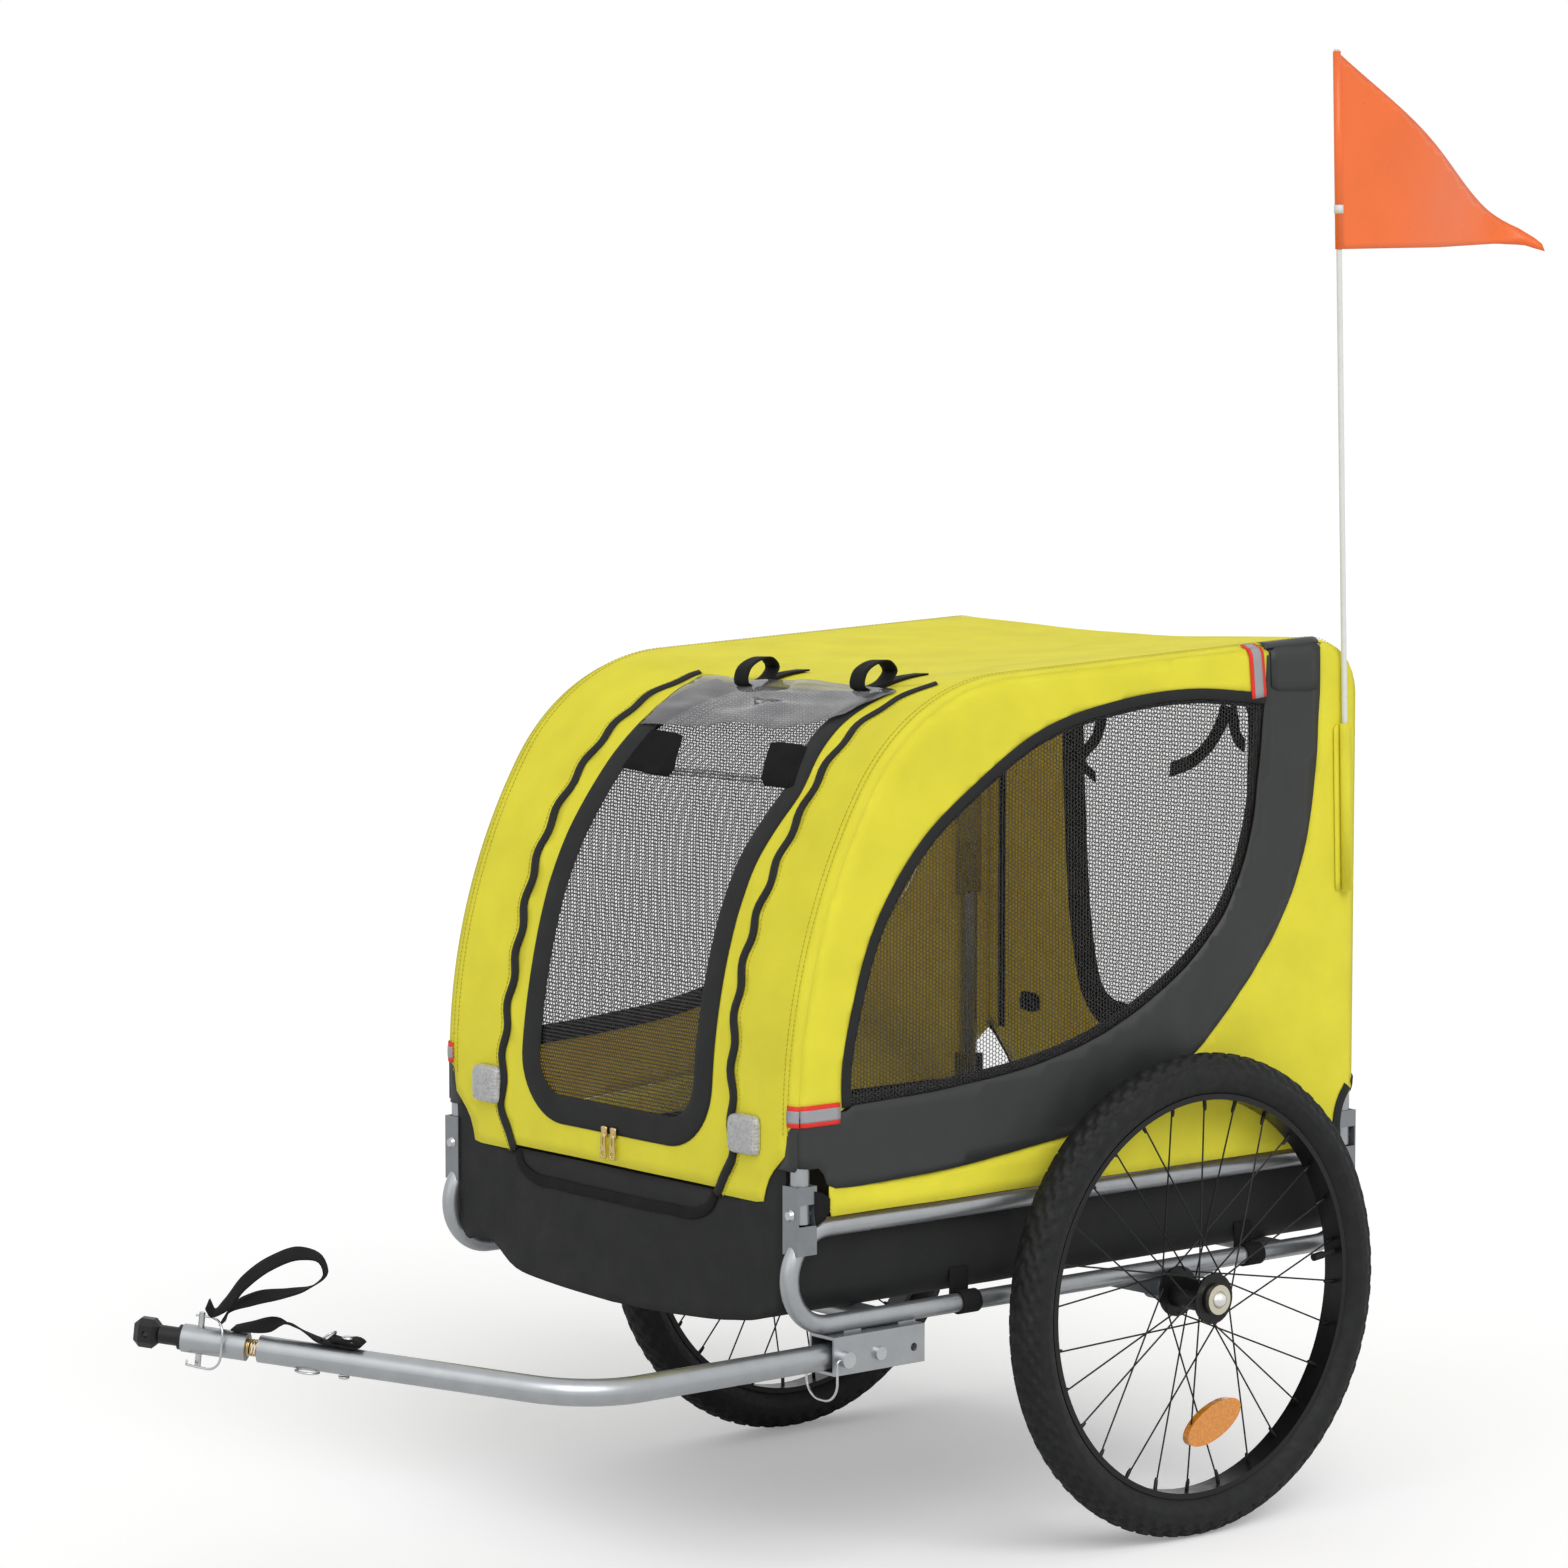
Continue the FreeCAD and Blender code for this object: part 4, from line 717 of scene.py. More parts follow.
for side, side_name in both_sides:
    place = side_place(side)
    flip = side > 0
    # The inner faces of the side pieces take the painted glow of light through the cloth
    on_cover(panel(side_name + "_upper_cloth", upper_outline, place, yellow_cloth, flip=flip, inner=painted_glow_inside),
             "yellow_fabric", side_name + "_side_panel")
    on_cover(panel(side_name + "_lower_cloth", lower_outline, place, yellow_cloth, flip=flip, inner=painted_glow_inside),
             "yellow_fabric")
    on_cover(panel(side_name + "_swoosh_cloth", swoosh_outline, wrinkled(place, 0.0016), black_nylon, lift=0.0006,
                   thickness=0.0018, flip=flip, inner=painted_glow_inside), "black_webbing")
    on_cover(panel(side_name + "_window_net", window_outline, place, net, thickness=0, lift=-0.0014, flip=flip),
             "black_mesh", side_name + "_side_mesh")
    sewn(side_name + "_inner_binding", window_outline, 0.020, black_cloth, place, closed=True, lift=-0.0026,
         crown=-0.0006, flip=not flip)
    sewn(side_name + "_window_binding", window_curve, narrow_width, black_cloth, place, flip=flip)


# Door and roof details
def ribbon(name, centres, sides, width, finish, thickness=0.0012, step=0.006):
    small_sides = 0.01 * np.asarray(sides, float)
    joined = smooth_curve(np.concatenate([np.asarray(centres, float), small_sides], axis=1), step)
    middle, side = joined[:, :3], joined[:, 3:]
    side /= np.linalg.norm(side, axis=1)[:, None]
    across = np.linspace(-1, 1, 5) * width / 2
    points = (middle[:, None] + side[:, None] * across[None, :, None]).reshape(-1, 3)
    length = lengths_along(middle)
    flat = np.stack([np.repeat(length, len(across)), np.tile(across, len(middle))], axis=1)
    cut_sizes[name] = (width, float(length[-1]), width * float(length[-1]))
    faces = grid_faces(len(middle), len(across))
    return thicken(new_mesh(name, points, faces, finish, flat), thickness, 0.0)


def crumple(run, y, lift):
    edge = np.clip(1 - np.abs(y - 0.04) / 0.17, 0, 1) ** 0.5
    return wrap_place(run, y, lift + edge * (0.0085 + 0.0075 * wave_field(run * 2.4, y * 0.7 + run, 26.0, 5.0)))


vinyl_outline = [(0.496, -0.126), (0.500, -0.060), (0.509, 0.020), (0.502, 0.090), (0.513, 0.140),
                 (0.532, 0.174), (0.582, 0.206), (0.590, 0.050), (0.592, -0.122)]
on_cover(panel("rolled_window", vinyl_outline, crumple, vinyl, lift=0.0015, thickness=0.0008, flip=True,
               step=0.007), "clear_lens")
fold_run = 0.436
# A narrow second layer of net under the door net along its crease: painted shade that darkens the line of the
# crease
fold_shade_outline = [(fold_run, -0.118), (fold_run + 0.004, 0.015), (fold_run, 0.150), (fold_run + 0.010, 0.150),
                (fold_run + 0.014, 0.015), (fold_run + 0.010, -0.118)]
on_cover(panel("net_fold_shade", fold_shade_outline, wrap_place, net, lift=-0.0006, thickness=0, flip=True), "black_mesh")
patches = {"left": [(0.436, 0.118), (0.490, 0.094), (0.487, 0.156), (0.434, 0.172)],
           "right": [(0.436, -0.030), (0.492, -0.054), (0.492, -0.122), (0.440, -0.128)]}
for side_name, corners in patches.items():
    on_cover(panel(side_name + "_door_patch", rounded(corners, 0.006), wrap_place, velcro, lift=0.0012,
                   flip=side_name == "right"), "black_webbing")

loop_run, loop_middle, loop_spread, loop_width = 0.594, 0.064, 0.094, 0.025
loop_path = [(0.062, 0.0015), (0.032, 0.0022), (0.004, 0.0022), (-0.016, 0.0045), (-0.023, 0.0125),
             (-0.016, 0.0235), (0.000, 0.0275), (0.016, 0.0235), (0.021, 0.0125), (0.012, 0.0055),
             (-0.008, 0.0040)]
loop_skew, webbing_thickness = (0.10, 1.0, 0.05), 0.0018
corner_top_run = tape_low_run + 0.002
corner_cloth = [(0.058, 0.262), (0.068, 0.2695), (0.085, 0.2725), (tape_low_run, 0.2740), (corner_top_run, 0.28),
                (corner_top_run, wrap_half), (0.062, wrap_half), (0.057, 0.285)]
seam_runs = np.arange(front_edge + cutout_run + 0.01, rear_edge - cutout_run - 0.01, 0.02)
for side, side_name in both_sides:
    runs = np.array([loop_run + along for along, up in loop_path])
    lifts = np.array([up for along, up in loop_path])
    centres = wrap_place(runs, np.full(len(runs), loop_middle + side * loop_spread), lifts)
    loop = ribbon(side_name + "_carry_loop", centres, [loop_skew] * len(runs), loop_width, webbing,
                  webbing_thickness, step=0.004)
    on_cover(loop, "black_webbing", *(["carry_loops"] if side > 0 else []))
    corner_outline = [(run, side * y) for run, y in corner_cloth]
    on_cover(panel(side_name + "_corner_cloth", corner_outline, wrap_place, black_nylon, lift=-0.0004, flip=True,
                   step=0.008), "black_webbing")
    rear_path = smooth_curve([(run, side * y) for run, y in rear_half], 0.006)
    sewn(side_name + "_rear_binding", rear_path, narrow_width, black_cloth, flip=True)
    for inset in (0.004, 0.011):
        seam_y = np.full(len(seam_runs), side * (half_width - edge_radius - inset))
        stitches(f"{side_name}_roof_seam_{round(inset * 1000)}", np.stack([seam_runs, seam_y], axis=1))
    stitches(side_name + "_zip_seam", zip_path(side)[::2] + (0, side * 0.010))


# Zip pulls and reflectors on the front
def front_place_at(lift_base):
    def place(y, z, lift):
        return np.stack([np.full(len(y), axle_x + arch_front + lift_base) + lift, y, z], axis=1)
    return place


def circle(y, z, radius, count=16):
    return arc_points((y, z), radius, 0, 2 * math.pi * (1 - 1 / count), count)


# A rounded outline that changes its width from its top to its foot
def tapered(y, top, half_top, foot, half_foot, radius):
    corners = [(y - half_top, top), (y + half_top, top), (y + half_foot, foot), (y - half_foot, foot)]
    return rounded(corners, radius)


for pull_name, y in (("left", 0.0025), ("right", -0.0125)):
    tab = tapered(y, 0.4270, 0.0030, 0.4010, 0.0048, 0.003)
    slit = tapered(y, 0.4230, 0.0014, 0.4140, 0.0018, 0.001)
    pull = panel(pull_name + "_zip_pull", tab, front_place_at(0.0044), brass_plate,
                 holes=(slit, circle(y, 0.4060, 0.0028)), step=0.0015, thickness=0.0014)
    on_cover(pull, "gold_zip", *(["zip_sliders"] if pull_name == "left" else []))
    head = tapered(y, 0.4340, 0.0046, 0.4225, 0.0036, 0.002)
    on_cover(panel(pull_name + "_zip_head", head, front_place_at(0.0032), brass_plate, step=0.002,
                   thickness=0.0026), "gold_zip")


# Reflector: a bulging rounded lens with rows of small pyramids
def front_lens(name, y_middle, z_middle):
    count = 45
    share = np.linspace(-1, 1, count)
    across, up = (axis.ravel() for axis in np.meshgrid(share, share, indexing="ij"))
    reach = np.maximum(np.abs(across), np.abs(up))
    shrink = np.where(reach > 0, reach / np.maximum((np.abs(across) ** 6 + np.abs(up) ** 6) ** (1 / 6), 1e-9), 1.0)
    odd = np.arange(count) % 2 == 1
    pyramid = (odd[:, None] & odd[None, :]).ravel() & (reach < 0.93)
    height = 0.0005 + 0.0092 * (1 - reach ** 8) ** 0.5 + 0.0007 * pyramid
    points = np.stack([axle_x + arch_front + height, y_middle + lens_half * across * shrink,
                       z_middle + 0.020 * up * shrink], axis=1)
    return new_mesh(name, points, grid_faces(count, count, flip=True), clear_lens)


lens_low, lens_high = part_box("front_reflectors")
lens_half = 0.022
for side, side_name in both_sides:
    lens = front_lens(side_name + "_front_lens", side * (lens_high.y - lens_half), (lens_low.z + lens_high.z) / 2)
    on_cover(lens, "clear_lens", *(["front_reflectors"] if side > 0 else []))

# Tapes, a narrow silver one on a wide red one, and the flap on the sides
tape_layers = (("tape", 0.021, red_tape, 0.0012), ("band", 0.012, silver_tape, 0.0017))
tape_crown = 0.0002
tape_paths = {"front": [(0.449, 0.4795), (0.4965, 0.4795)], "rear": [(-0.1185, 0.857), (-0.1130, 0.9095)]}
corner_run, roof_run = run_at(z=0.4795), run_at(x=-0.1125)
flap_outline = rounded([(-0.136, 0.864), (-0.206, 0.861), (-0.205, 0.911), (-0.134, 0.908)], 0.004)
tab_outline = rounded([(0.480, 0.409), (0.460, 0.397), (0.462, 0.379), (0.480, 0.371)], 0.003)
rear_cut = smooth_curve([(-0.256, 0.438), (-0.246, 0.424), (-0.240, 0.403), (-0.240, 0.382)], 0.006)
roof_tape = [(roof_run, half_width - 0.001), (roof_run, half_width - 0.011)]
roof_edge = [(run, half_width - 0.006) for run in np.arange(run_at(x=-0.126), run_at(x=-0.209), 0.01)]
sewn("left_roof_nylon", roof_edge, 0.012, black_nylon, lift=0.0008, crown=0.0004, flip=True)
for layer, width, finish, lift in tape_layers:
    sewn("left_roof_" + finish.name, roof_tape, width, finish, lift=lift, crown=tape_crown)
for side, side_name in both_sides:
    place = side_place(side)
    flip = side > 0
    corner_tape = [(corner_run, side * (half_width - 0.002)), (corner_run, side * (half_width - 0.016))]
    for layer, width, finish, lift in tape_layers:
        for tape_name, path in tape_paths.items():
            sewn(f"{side_name}_{tape_name}_{layer}", path, width, finish, place, lift=lift, crown=tape_crown,
                 flip=flip)
        sewn(f"{side_name}_corner_{finish.name}", corner_tape, width, finish, lift=lift, crown=tape_crown,
             flip=not flip)
    for patch_name, outline, finish, lift in (("_flap", flap_outline, black_nylon, 0.0022),
                                              ("_corner_tab", tab_outline, webbing, 0.0012)):
        on_cover(panel(side_name + patch_name, outline, place, finish, lift=lift, flip=flip), "black_webbing")
    sewn(side_name + "_cut_binding", rear_cut, narrow_width, black_cloth, place, flip=flip)
    inner_seam = [(run, side * 0.268) for run in np.arange(rear_run(0.760), rear_run(0.431), 0.01)]
    sewn(side_name + "_inner_seam", inner_seam, narrow_width, black_cloth, lift=-0.0022, crown=-0.0008)

# Ties that hold the rolled rear panel, inside the rear window
tie_x, tie_width = axle_x + arch_rear + 0.012, 0.018
ties = {
    "far_tie": [(-0.0900, 0.822), (-0.0910, 0.800), (-0.0960, 0.783), (-0.1075, 0.770), (-0.1080, 0.755),
                (-0.0860, 0.742)],
    "middle_tie": [(0.1065, 0.832), (0.0997, 0.811), (0.0874, 0.791), (0.0624, 0.770), (0.0308, 0.758)],
    "near_tie": [(0.1120, 0.832), (0.1204, 0.812), (0.1289, 0.798), (0.1428, 0.791)],
}
for tie_name, path in ties.items():
    flat_path = np.array(path)
    across = path_sides(flat_path, False)
    centres = [(tie_x + 0.003 * index, y, z) for index, (y, z) in enumerate(flat_path)]
    turns = [(0.12 * index, y, z) for index, (y, z) in enumerate(across)]
    on_cover(ribbon(tie_name, centres, turns, tie_width, webbing), "black_webbing")
tab_top, tab_foot = rear_run(0.485), rear_run(0.463)
inner_tab = rounded([(tab_top, -0.235), (tab_foot, -0.235), (tab_foot, -0.201), (tab_top, -0.201)], 0.004)
on_cover(panel("inner_tab", inner_tab, wrap_place, webbing, lift=-0.004), "black_webbing")

# Tub: black cloth trough with bowed ends
tub_front, tub_rear = 0.4991, arch_rear + 0.0010
tub_wall_y, upright_foot_z = 0.2690, 0.370
tub_section = np.array([(1.0, 0.388), (1.0, 0.366), (1.002, 0.335), (1.0, 0.304), (0.975, 0.289), (0.885, 0.277),
                        (0.70, 0.267), (0.42, 0.260), (0.0, 0.256)])


# The trough's section at one place along the trailer: its right front corner is drawn up, and its top is low
# beside the uprights
def tub_section_at(x):
    half = smooth_curve(tub_section, 0.02)
    whole = np.concatenate([half, (half * (-1, 1))[::-1][1:]])
    share = np.clip((x - 0.38) / 0.11, 0, 1)
    corner = np.exp(-((whole[:, 0] + 0.80) / 0.12) ** 2) * (whole[:, 1] < 0.31)
    whole[:, 1] += 0.019 * share ** 2 * (3 - 2 * share) * corner
    near_end = 1 - np.clip(np.minimum(0.455 - x, x + 0.195) / 0.02, 0, 1)
    whole[:, 1] -= near_end * np.clip(whole[:, 1] - upright_foot_z, 0, None)
    return whole * (tub_wall_y, 1.0)


def tub_trough():
    along = np.linspace(tub_rear, tub_front, 80)
    sections = np.stack([tub_section_at(x) for x in along])
    rows, columns = sections.shape[:2]
    x = np.repeat(along, columns)
    y, z = sections.reshape(-1, 2).T
    folds = 0.0030 * wave_field(x * 2.2, z, 9.0, 2.0)
    pinch = np.clip((0.36 - z) / 0.02, 0, 1) * np.clip((tub_front - x) / 0.03, 0, 1)
    y = y - np.sign(y) * np.abs(folds * pinch)
    across = lengths_along(sections[0])
    flat = np.stack([x, np.tile(across, rows)], axis=1)
    points = np.stack([axle_x + x, y, z], axis=1)
    faces = grid_faces(rows, columns, flip=True)
    return thicken(new_mesh("tub_cloth", points, faces, black_cloth, flat), 0.0014, 0.0)


def tub_end_place(x_end, outward):
    def place(y, z, lift):
        bow = np.clip(1 - (y / 0.265) ** 2, 0, 1) * np.clip((0.385 - z) / 0.06, 0, 1) ** 0.5
        wave = 0.0025 * wave_field(y, z, 11.0, 4.0)
        return np.stack([axle_x + x_end + outward * (bow * (0.004 + wave) + lift), y, z], axis=1)
    return place


tub = attach(tub_trough(), "chassis", "black_fabric", "floor_tub")
front_top = [(-0.273, 0.436), (-0.222, 0.436), (-0.209, 0.392), (0.209, 0.392), (0.222, 0.436), (0.273, 0.436)]
rear_top = [(-0.266, 0.386), (0.266, 0.386)]
for end_name, x_end, outward, top in (("front", tub_front, 1, front_top), ("rear", tub_rear, -1, rear_top)):
    end_outline = np.concatenate([top, tub_section_at(x_end)])
    end_place = tub_end_place(x_end, outward)
    attach(panel(f"tub_{end_name}_cloth", end_outline, end_place, black_cloth, flip=outward < 0), "chassis",
           "black_fabric")
low_zip = smooth_curve([(-0.164, 0.390), (-0.157, 0.376), (-0.140, 0.367), (-0.09, 0.364), (0.0, 0.3635),
                        (0.09, 0.364), (0.140, 0.367), (0.157, 0.376), (0.164, 0.390)], 0.006)
attach(strip("low_zip", low_zip, narrow_width, tub_end_place(tub_front, 1), webbing, lift=0.0008, crown=0.0018),
       "chassis", "black_webbing")

# Tyres: casing with rows of tread blocks and lugs on the shoulders
tyre_section = (tyre_high.y - tyre_low.y) / 2
tread_rows = ((0.0, 13.0, 0.0, 0.66), (26.0, 9.0, 0.5, 0.60), (45.0, 8.0, 0.0, 0.58), (62.0, 7.0, 0.5, 0.45))
tread_count, tread_depth = 72, 0.0022


def block(value, duty):
    return np.clip((duty / 2 - np.abs((value % 1.0) - 0.5)) / 0.06 + 0.5, 0, 1)


def tyre_mesh(side_name, side):
    round_steps, section_steps = tread_count * 10, 60
    turn, bend = np.meshgrid(np.linspace(0, 2 * math.pi, round_steps, endpoint=False),
                             np.linspace(-150, 150, section_steps), indexing="ij")
    height = np.full(turn.shape, -tread_depth)
    for centre, half, shift, duty in tread_rows:
        skew = np.abs(bend) / 90.0 * 0.8
        inside_row = np.clip((half - np.abs(np.abs(bend) - centre)) / 3.0 + 0.5, 0, 1)
        blocks = block(turn / (2 * math.pi) * tread_count + shift + skew, duty)
        height = np.maximum(height, -tread_depth + tread_depth * inside_row * blocks)
    wall_line = np.exp(-((np.abs(bend) - 100) / 3.0) ** 2) * 0.0007
    wall = np.where(np.abs(bend) > 72, -0.0008 + wall_line, height)
    section = tyre_section + wall
    reach = wheel_radius - tyre_section + section * np.cos(np.radians(bend))
    points = np.stack([axle_x + reach * np.cos(turn), side * wheel_y + section * np.sin(np.radians(bend)),
                       axle_z + reach * np.sin(turn)], axis=2).reshape(-1, 3)
    faces = grid_faces(round_steps, section_steps, closed_rows=True)
    flat = np.stack([turn.ravel() * wheel_radius, np.radians(bend).ravel() * tyre_section], axis=1)
    tread = new_mesh(side_name + "_tyre_tread", points, faces, rubber, flat)
    attach(tread, side_name + "_wheel", "tyre", side_name + "_tyre")


spoke_count, spoke_phase, rim_inner, flange_half = 28, math.radians(3.0), wheel_radius - 0.047, 0.026
nipple_rings = ((0.0, 0.0021), (-0.009, 0.0021), (-0.0125, 0.0013))


def nipples(side_name, side):
    points, faces = [], []
    corners = 8
    axis = np.array([0.0, 1.0, 0.0])
    for index in range(spoke_count):
        angle = spoke_phase + 2 * math.pi * index / spoke_count
        flange = side * (flange_half if index % 2 else -flange_half)
        out = np.array([math.cos(angle), 0.0, math.sin(angle)])
        tangent = np.array([-math.sin(angle), 0.0, math.cos(angle)])
        start = len(points)
        for reach, radius in nipple_rings:
            middle = np.array([axle_x, side * wheel_y - flange * reach / rim_inner, axle_z])
            centre = middle + out * (rim_inner + reach)
            points += ring_points(centre, tangent * radius, axis * radius, corners)
        for face in grid_faces(len(nipple_rings), corners, closed_columns=True):
            faces.append([start + corner for corner in face])
    attach(new_mesh(side_name + "_nipples", points, faces, black_metal), side_name + "_wheel", "black_metal")


for side, side_name in both_sides:
    tyre_mesh(side_name, side)
    nipples(side_name, side)

# Hitch: places along the bar, to its side and above it, from the middle of the spring
joints = {joint["name"]: joint for joint in frame["record"]["behaviour"]["joints"]}
bar_middle = np.array(joints["coupler_flex"]["pos_m"])
bar_rise = np.array(joints["coupler_flex"]["axis"])
bar_heading = np.array(joints["coupler_ring_swing"]["axis"])
bar_side = np.cross(bar_heading, bar_rise)


def at_bar(along, side, up):
    return bar_middle + bar_heading * along + bar_side * side + bar_rise * up


def along_bar(vector):
    along, side, up = vector
    return bar_heading * along + bar_side * side + bar_rise * up


strap_width = 0.019
strap_route = [
    ((0.046, -0.010, 0.0380), (0.1, 0.9, 0.3)), ((0.041, -0.006, 0.0290), (0.1, 1.0, 0.2)),
    ((0.032, -0.002, 0.0360), (0.35, 0.9, 0.4)), ((0.016, 0.0, 0.0600), (0.40, 0.75, 0.45)),
    ((-0.010, 0.0, 0.0840), (0.35, 0.80, 0.5)), ((-0.036, 0.002, 0.0960), (0.25, 0.85, 0.45)),
    ((-0.056, 0.002, 0.0930), (0.15, 1.0, 0.15)), ((-0.062, 0.002, 0.0800), (0.05, 1.0, 0.0)),
    ((-0.050, 0.0, 0.0660), (-0.10, 1.0, 0.05)), ((-0.028, 0.0, 0.0570), (0.0, 1.0, 0.30)),
    ((0.004, 0.0, 0.0470), (0.15, 0.85, 0.5)), ((0.028, 0.002, 0.0320), (0.10, 1.0, 0.2)),
    ((0.034, 0.004, 0.0180), (0.0, 1.0, 0.05)),
]
run_route = [
    ((0.022, 0.002, 0.0160), (0.0, 1.0, 0.05)), ((0.006, 0.002, 0.0190), (0.1, 1.0, 0.35)),
    ((-0.014, 0.0, 0.0245), (0.0, 0.75, 0.6)), ((-0.034, 0.0, 0.0275), (0.0, 0.9, -0.35)),
    ((-0.050, 0.0, 0.0220), (0.0, 1.0, -0.25)), ((-0.064, 0.0, 0.0165), (0.0, 1.0, 0.0)),
    ((-0.080, 0.0, 0.0160), (0.0, 1.0, 0.0)),
]
fold_route = [((-0.072, 0.0, 0.0160), (0.0, 1.0, 0.0)), ((-0.088, 0.0, 0.0155), (0.0, 1.0, 0.0)),
              ((-0.101, 0.001, 0.0158), (0.0, 1.0, 0.05)), ((-0.1055, 0.001, 0.0185), (0.0, 1.0, 0.05)),
              ((-0.100, 0.001, 0.0215), (0.0, 1.0, 0.05)), ((-0.084, 0.0, 0.0200), (0.0, 1.0, 0.0)),
              ((-0.074, 0.0, 0.0215), (0.0, 1.0, 0.0))]


def strap_piece(name, route):
    return ribbon(name, [at_bar(*place) for place, turn in route], [along_bar(turn) for place, turn in route],
                  strap_width, webbing, 0.0015, step=0.004)


for strap_name, route in (("strap_loop", strap_route), ("strap_run", run_route)):
    strap = strap_piece(strap_name, route)
    apply_modifiers(strap)
    if strap_name == "strap_loop":
        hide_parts("safety_strap")
    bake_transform(strap)
attach(strap_piece("strap_fold", fold_route), "chassis", "black_webbing", "strap_anchor")


# Coil round the hitch bar, with a closed turn at each end
def coil(name, half_length, radius, wire, open_turns, finish):
    steps, count = 24, 8
    points = []
    rows = steps * (open_turns + 2) + 1
    for row in range(rows):
        angle = 2 * math.pi * row / steps
        share = np.clip((row / steps - 1) / open_turns, 0, 1)
        outward = along_bar((0.0, math.cos(angle), math.sin(angle)))
        centre = at_bar((2 * share - 1) * (half_length - wire), 0.0, 0.0) + radius * outward
        points += ring_points(centre, wire * outward, wire * bar_heading, count)
    made = new_mesh(name, points, tube_faces(rows, count), finish)
    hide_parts("coupler_spring")
    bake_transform(made)


coil("coil", 0.0060, 0.0077, 0.0008, 4, brass_plate)


# Rivet head
def dome(name, centre, axis):
    count, radius, height = 18, 0.0055, 0.0030
    turn = Vector(axis).to_track_quat("Z", "X")
    points = []
    profile = ((1.0, 0.0), (1.0, 0.35), (0.86, 0.75), (0.5, 0.96), (0.12, 1.0))
    for share, rise in profile:
        for corner in range(count):
            angle = 2 * math.pi * corner / count
            place = Vector((radius * share * math.cos(angle), radius * share * math.sin(angle), height * rise))
            points.append(np.array(centre) + np.array(turn @ place))
    attach(new_mesh(name, points, tube_faces(len(profile), count), zinc), "chassis", "zinc_steel")


dome("anchor_head", at_bar(-0.090, 0.0, 0.0215), bar_rise)
dome("anchor_foot", at_bar(-0.090, 0.0, -0.0142), -bar_rise)


def wire_ring(name, centre, normal, radius, wire, stretch=1.0):
    bpy.ops.mesh.primitive_torus_add(major_radius=radius, minor_radius=wire, major_segments=40, minor_segments=10)
    made = bpy.context.object
    made.name = name
    made.scale = (stretch, 1.0, 1.0)
    made.rotation_euler = Vector(normal).to_track_quat("Z", "X").to_euler()
    made.location = centre
    bpy.ops.object.transform_apply(location=True, rotation=True, scale=True)
    bpy.ops.object.shade_smooth()
    made.data.materials.append(zinc)
    attach(made, "chassis", "zinc_steel")


wire_ring("strap_eye", at_bar(-0.054, 0.0, -0.0150), bar_rise, 0.0085, 0.0012, 1.3)
wire_ring("strap_ring", at_bar(-0.071, 0.002, 0.0210), along_bar((0.6, 0.2, 0.7)), 0.0080, 0.0011)

# Bands that tie the tub to the lower rails: a tail down from the tub and once round the rail
rail_low, rail_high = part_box("left_loop")
rail_y = (rail_low.y + rail_high.y) / 2
rail_z = rail_low.z + (rail_high.y - rail_low.y) / 2
band_radius, band_width = 0.0110, 0.024
for side, side_name in both_sides:
    for band_name, band_x in (("front", 0.274), ("rear", -0.124)):
        route = [(rail_y - band_radius - 0.0004, 0.304), (rail_y - band_radius, rail_z + 0.014)]
        for angle in np.radians(np.arange(180, 521, 20)):
            route.append((rail_y + band_radius * math.cos(angle), rail_z + band_radius * math.sin(angle)))
        centres = [(axle_x + band_x, side * y, z) for y, z in route]
        band = ribbon(f"{side_name}_{band_name}_band", centres, [(1, 0, 0)] * len(route), band_width, webbing,
                      webbing_thickness, step=0.004)
        attach(band, "chassis", "black_webbing", *(["tub_bands"] if side > 0 and band_x > 0 else []))

# Flag: thin film round the pole with a curled tip
pole_low, pole_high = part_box("flag_pole")
pole_lean = math.radians(1.8)
pole_foot = np.array([axle_x - 0.247, (pole_low.y + pole_high.y) / 2, pole_low.z])
pole_axis = np.array([math.sin(pole_lean), 0.0, math.cos(pole_lean)])
pole_across = np.array([math.cos(pole_lean), 0.0, -math.sin(pole_lean)])
flag_hoist, flag_fly, flag_top = 0.204, 0.318, 0.875


def flag_place(back, down, lift):
    away = np.clip(back / flag_fly, 0, 1)
    wave = 0.020 * away * np.sin(back * 15.0 + down * 5.0) + 0.006 * away * np.sin(down * 26.0 + 1.0)
    curl = np.clip((away - 0.80) / 0.20, 0, 1) ** 2 * 0.022
    up = flag_top - down + curl * 0.2
    places = pole_foot[None] + pole_axis[None] * up[:, None] - pole_across[None] * back[:, None]
    places[:, 1] += wave - 0.014 * away + curl + lift
    return places


flag_outline = [(0.0, 0.0), (0.30, 0.189), (0.316, 0.205), (flag_fly, 0.216), (0.300, 0.206), (0.270, 0.202),
                (0.16, 0.2045), (0.0, flag_hoist)]
flag_cloth = panel("flag_cloth", flag_outline, flag_place, orange_vinyl, thickness=0.0006, step=0.009)
attach(flag_cloth, "flag", "orange_vinyl", "flag")


def pole_tube(name, low, high, radius, finish, body, slot, *nodes, squeeze=1.0, foot=pole_foot, axis=pole_axis):
    count = 20
    sideways = np.array([0.0, radius * squeeze, 0.0])
    points, flat = [], []
    for height in (low, high):
        points += ring_points(foot + axis * height, pole_across * radius, sideways, count)
        flat += [(2 * math.pi * radius * corner / count, height) for corner in range(count)]
    made = new_mesh(name, points, grid_faces(2, count, closed_columns=True), finish, flat)
    attach(thicken(made, 0.0006), body, slot, *nodes)


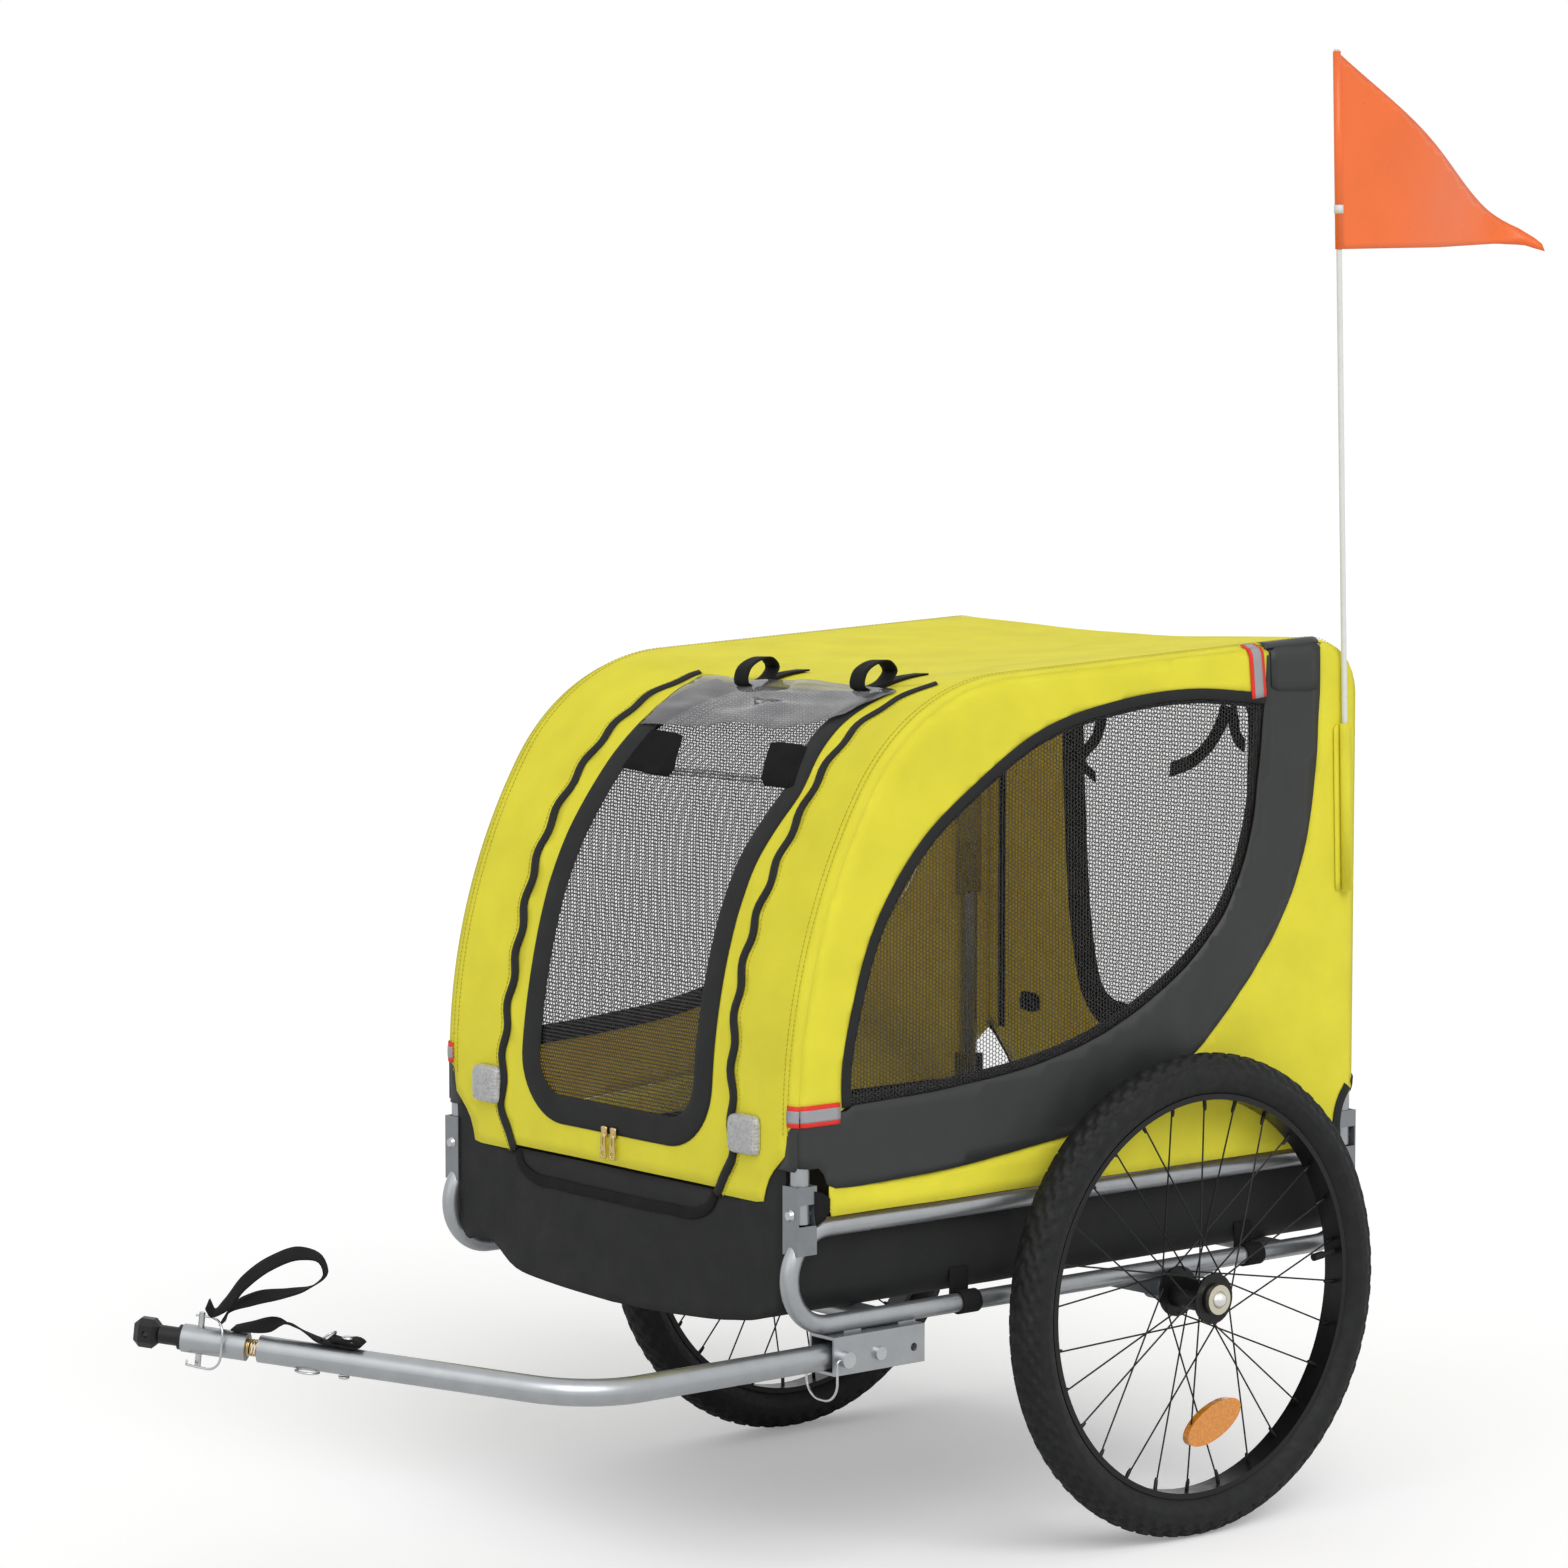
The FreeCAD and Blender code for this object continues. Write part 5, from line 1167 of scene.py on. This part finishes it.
pole_tube("flag_sleeve", flag_top - flag_hoist, flag_top, 0.0042, orange_vinyl, "flag", "orange_vinyl")
pole_tube("flag_band", 0.708, 0.717, 0.0050, white_pole, "flag", "white_pole")
# The sleeve round the right upright takes the same painted glow of light through the cloth
pole_tube("right_upright_sleeve", 0.597, 0.790, 0.0175, painted_glow_inside, "right_arch", "yellow_fabric", squeeze=0.58,
          foot=np.array([axle_x - 0.228, -rail_y, 0.0]), axis=np.array([0.0, 0.0, 1.0]))
pocket_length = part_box("flag_pocket")[1].z - pole_low.z
pole_tube("pocket_sleeve", -0.002, pocket_length, 0.0062, yellow_cloth, "left_arch", "yellow_fabric",
          "flag_pocket", squeeze=0.75)


def pocket_place(across, up, lift):
    places = pole_foot[None] + pole_axis[None] * up[:, None] + pole_across[None] * across[:, None]
    places[:, 1] = half_width + 0.0012 + lift
    return places


for flange_name, first, last in (("pocket_front_flange", 0.004, 0.013), ("pocket_rear_flange", -0.013, -0.004)):
    flange = panel(flange_name, [(first, -0.002), (last, -0.002), (last, pocket_length), (first, pocket_length)],
                   pocket_place, yellow_cloth, thickness=0.001, step=0.01)
    attach(flange, "left_arch", "yellow_fabric")

# Cloth pieces: how each is held and what it rests on
sheets = {
    "roof_cloth": ("stretched", "left_arch", "right_arch"), "door_cloth": ("stretched", "roof_cloth"),
    "door_net": ("stretched", "door_cloth"), "rear_net": ("stretched", "roof_cloth"),
    "flag_cloth": ("hung", "flag_pole"), "rolled_window": ("laid", "door_cloth"),
    "tub_front_cloth": ("hung", "left_loop", "right_loop"), "tub_rear_cloth": ("hung", "left_loop", "right_loop"),
    "strap_loop": ("hung", "coupler_sleeve"), "strap_run": ("laid", "tow_bar"),
    "strap_fold": ("folded", "tow_bar"),
    "left_carry_loop": ("folded", "roof_cloth"), "right_carry_loop": ("folded", "roof_cloth"),
    "far_tie": ("hung", "roof_cloth"), "middle_tie": ("hung", "roof_cloth"), "near_tie": ("hung", "roof_cloth"),
}
for side_name in ("left", "right"):
    for ending in ("_upper_cloth", "_lower_cloth", "_window_net"):
        sheets[side_name + ending] = ("stretched", side_name + "_arch")

# Share that the bulge and the wrinkles add to a flat outline. A curved band is given as a straight strip of a
# like area, and the door by its width between the zips.
fullness = {"roof_cloth": 1.035, "door_cloth": 1.015, "flag_cloth": 1.015}
for name, (held, *rests_on) in sheets.items():
    width, length, area = cut_sizes[name]
    area *= fullness.get(name, 1.0)
    if name == "door_cloth":
        length = 2 * zip_y
    elif area < 0.32 * width * length:
        length = 1.15 * max(width, length)
        width = 1.4 * area / length


# Studio
def build_stage():
    bpy.ops.mesh.primitive_plane_add(size=60.0, location=(0, 0, 0))
    floor = bpy.context.object
    floor.name = "floor"
    made, tree, shader = new_material("floor")
    seen_floor = add_node(tree, "LightPath").outputs["Is Camera Ray"]
    lift = add_node(tree, "MapRange", {"Value": seen_floor, "To Min": 0.0, "To Max": 0.22})
    set_inputs(tree, shader, {"Base Color": (0.955, 0.955, 0.955, 1.0), "Roughness": 1.0,
                              "Specular IOR Level": 0.0, "Emission Color": (1, 1, 1, 1),
                              "Emission Strength": lift.outputs["Result"]})
    floor.data.materials.append(made)
    world = bpy.data.worlds.new("studio")
    bpy.context.scene.world = world
    world.use_nodes = True
    tree = world.node_tree
    rays = add_node(tree, "LightPath").outputs
    direct = maths(tree, "MAXIMUM", rays["Is Camera Ray"], rays["Is Transmission Ray"])
    seen = maths(tree, "MAXIMUM", direct, rays["Is Glossy Ray"])
    strength = add_node(tree, "MapRange", {"Value": seen, "To Min": 0.50, "To Max": 1.0})
    set_inputs(tree, tree.nodes["Background"], {"Color": (1, 1, 1, 1), "Strength": strength.outputs["Result"]})
    for name, place, power, spread in (("key", (0.9, 3.4, 3.2), 1.35, 45.0),
                                       ("fill", (3.0, 0.6, 2.2), 0.40, 60.0)):
        data = bpy.data.lights.new(name, "SUN")
        data.energy = power
        data.angle = math.radians(spread)
        lamp = bpy.data.objects.new(name, data)
        lamp.location = place
        lamp.rotation_euler = (-lamp.location).to_track_quat("-Z", "Y").to_euler()
        bpy.context.scene.collection.objects.link(lamp)


build_stage()
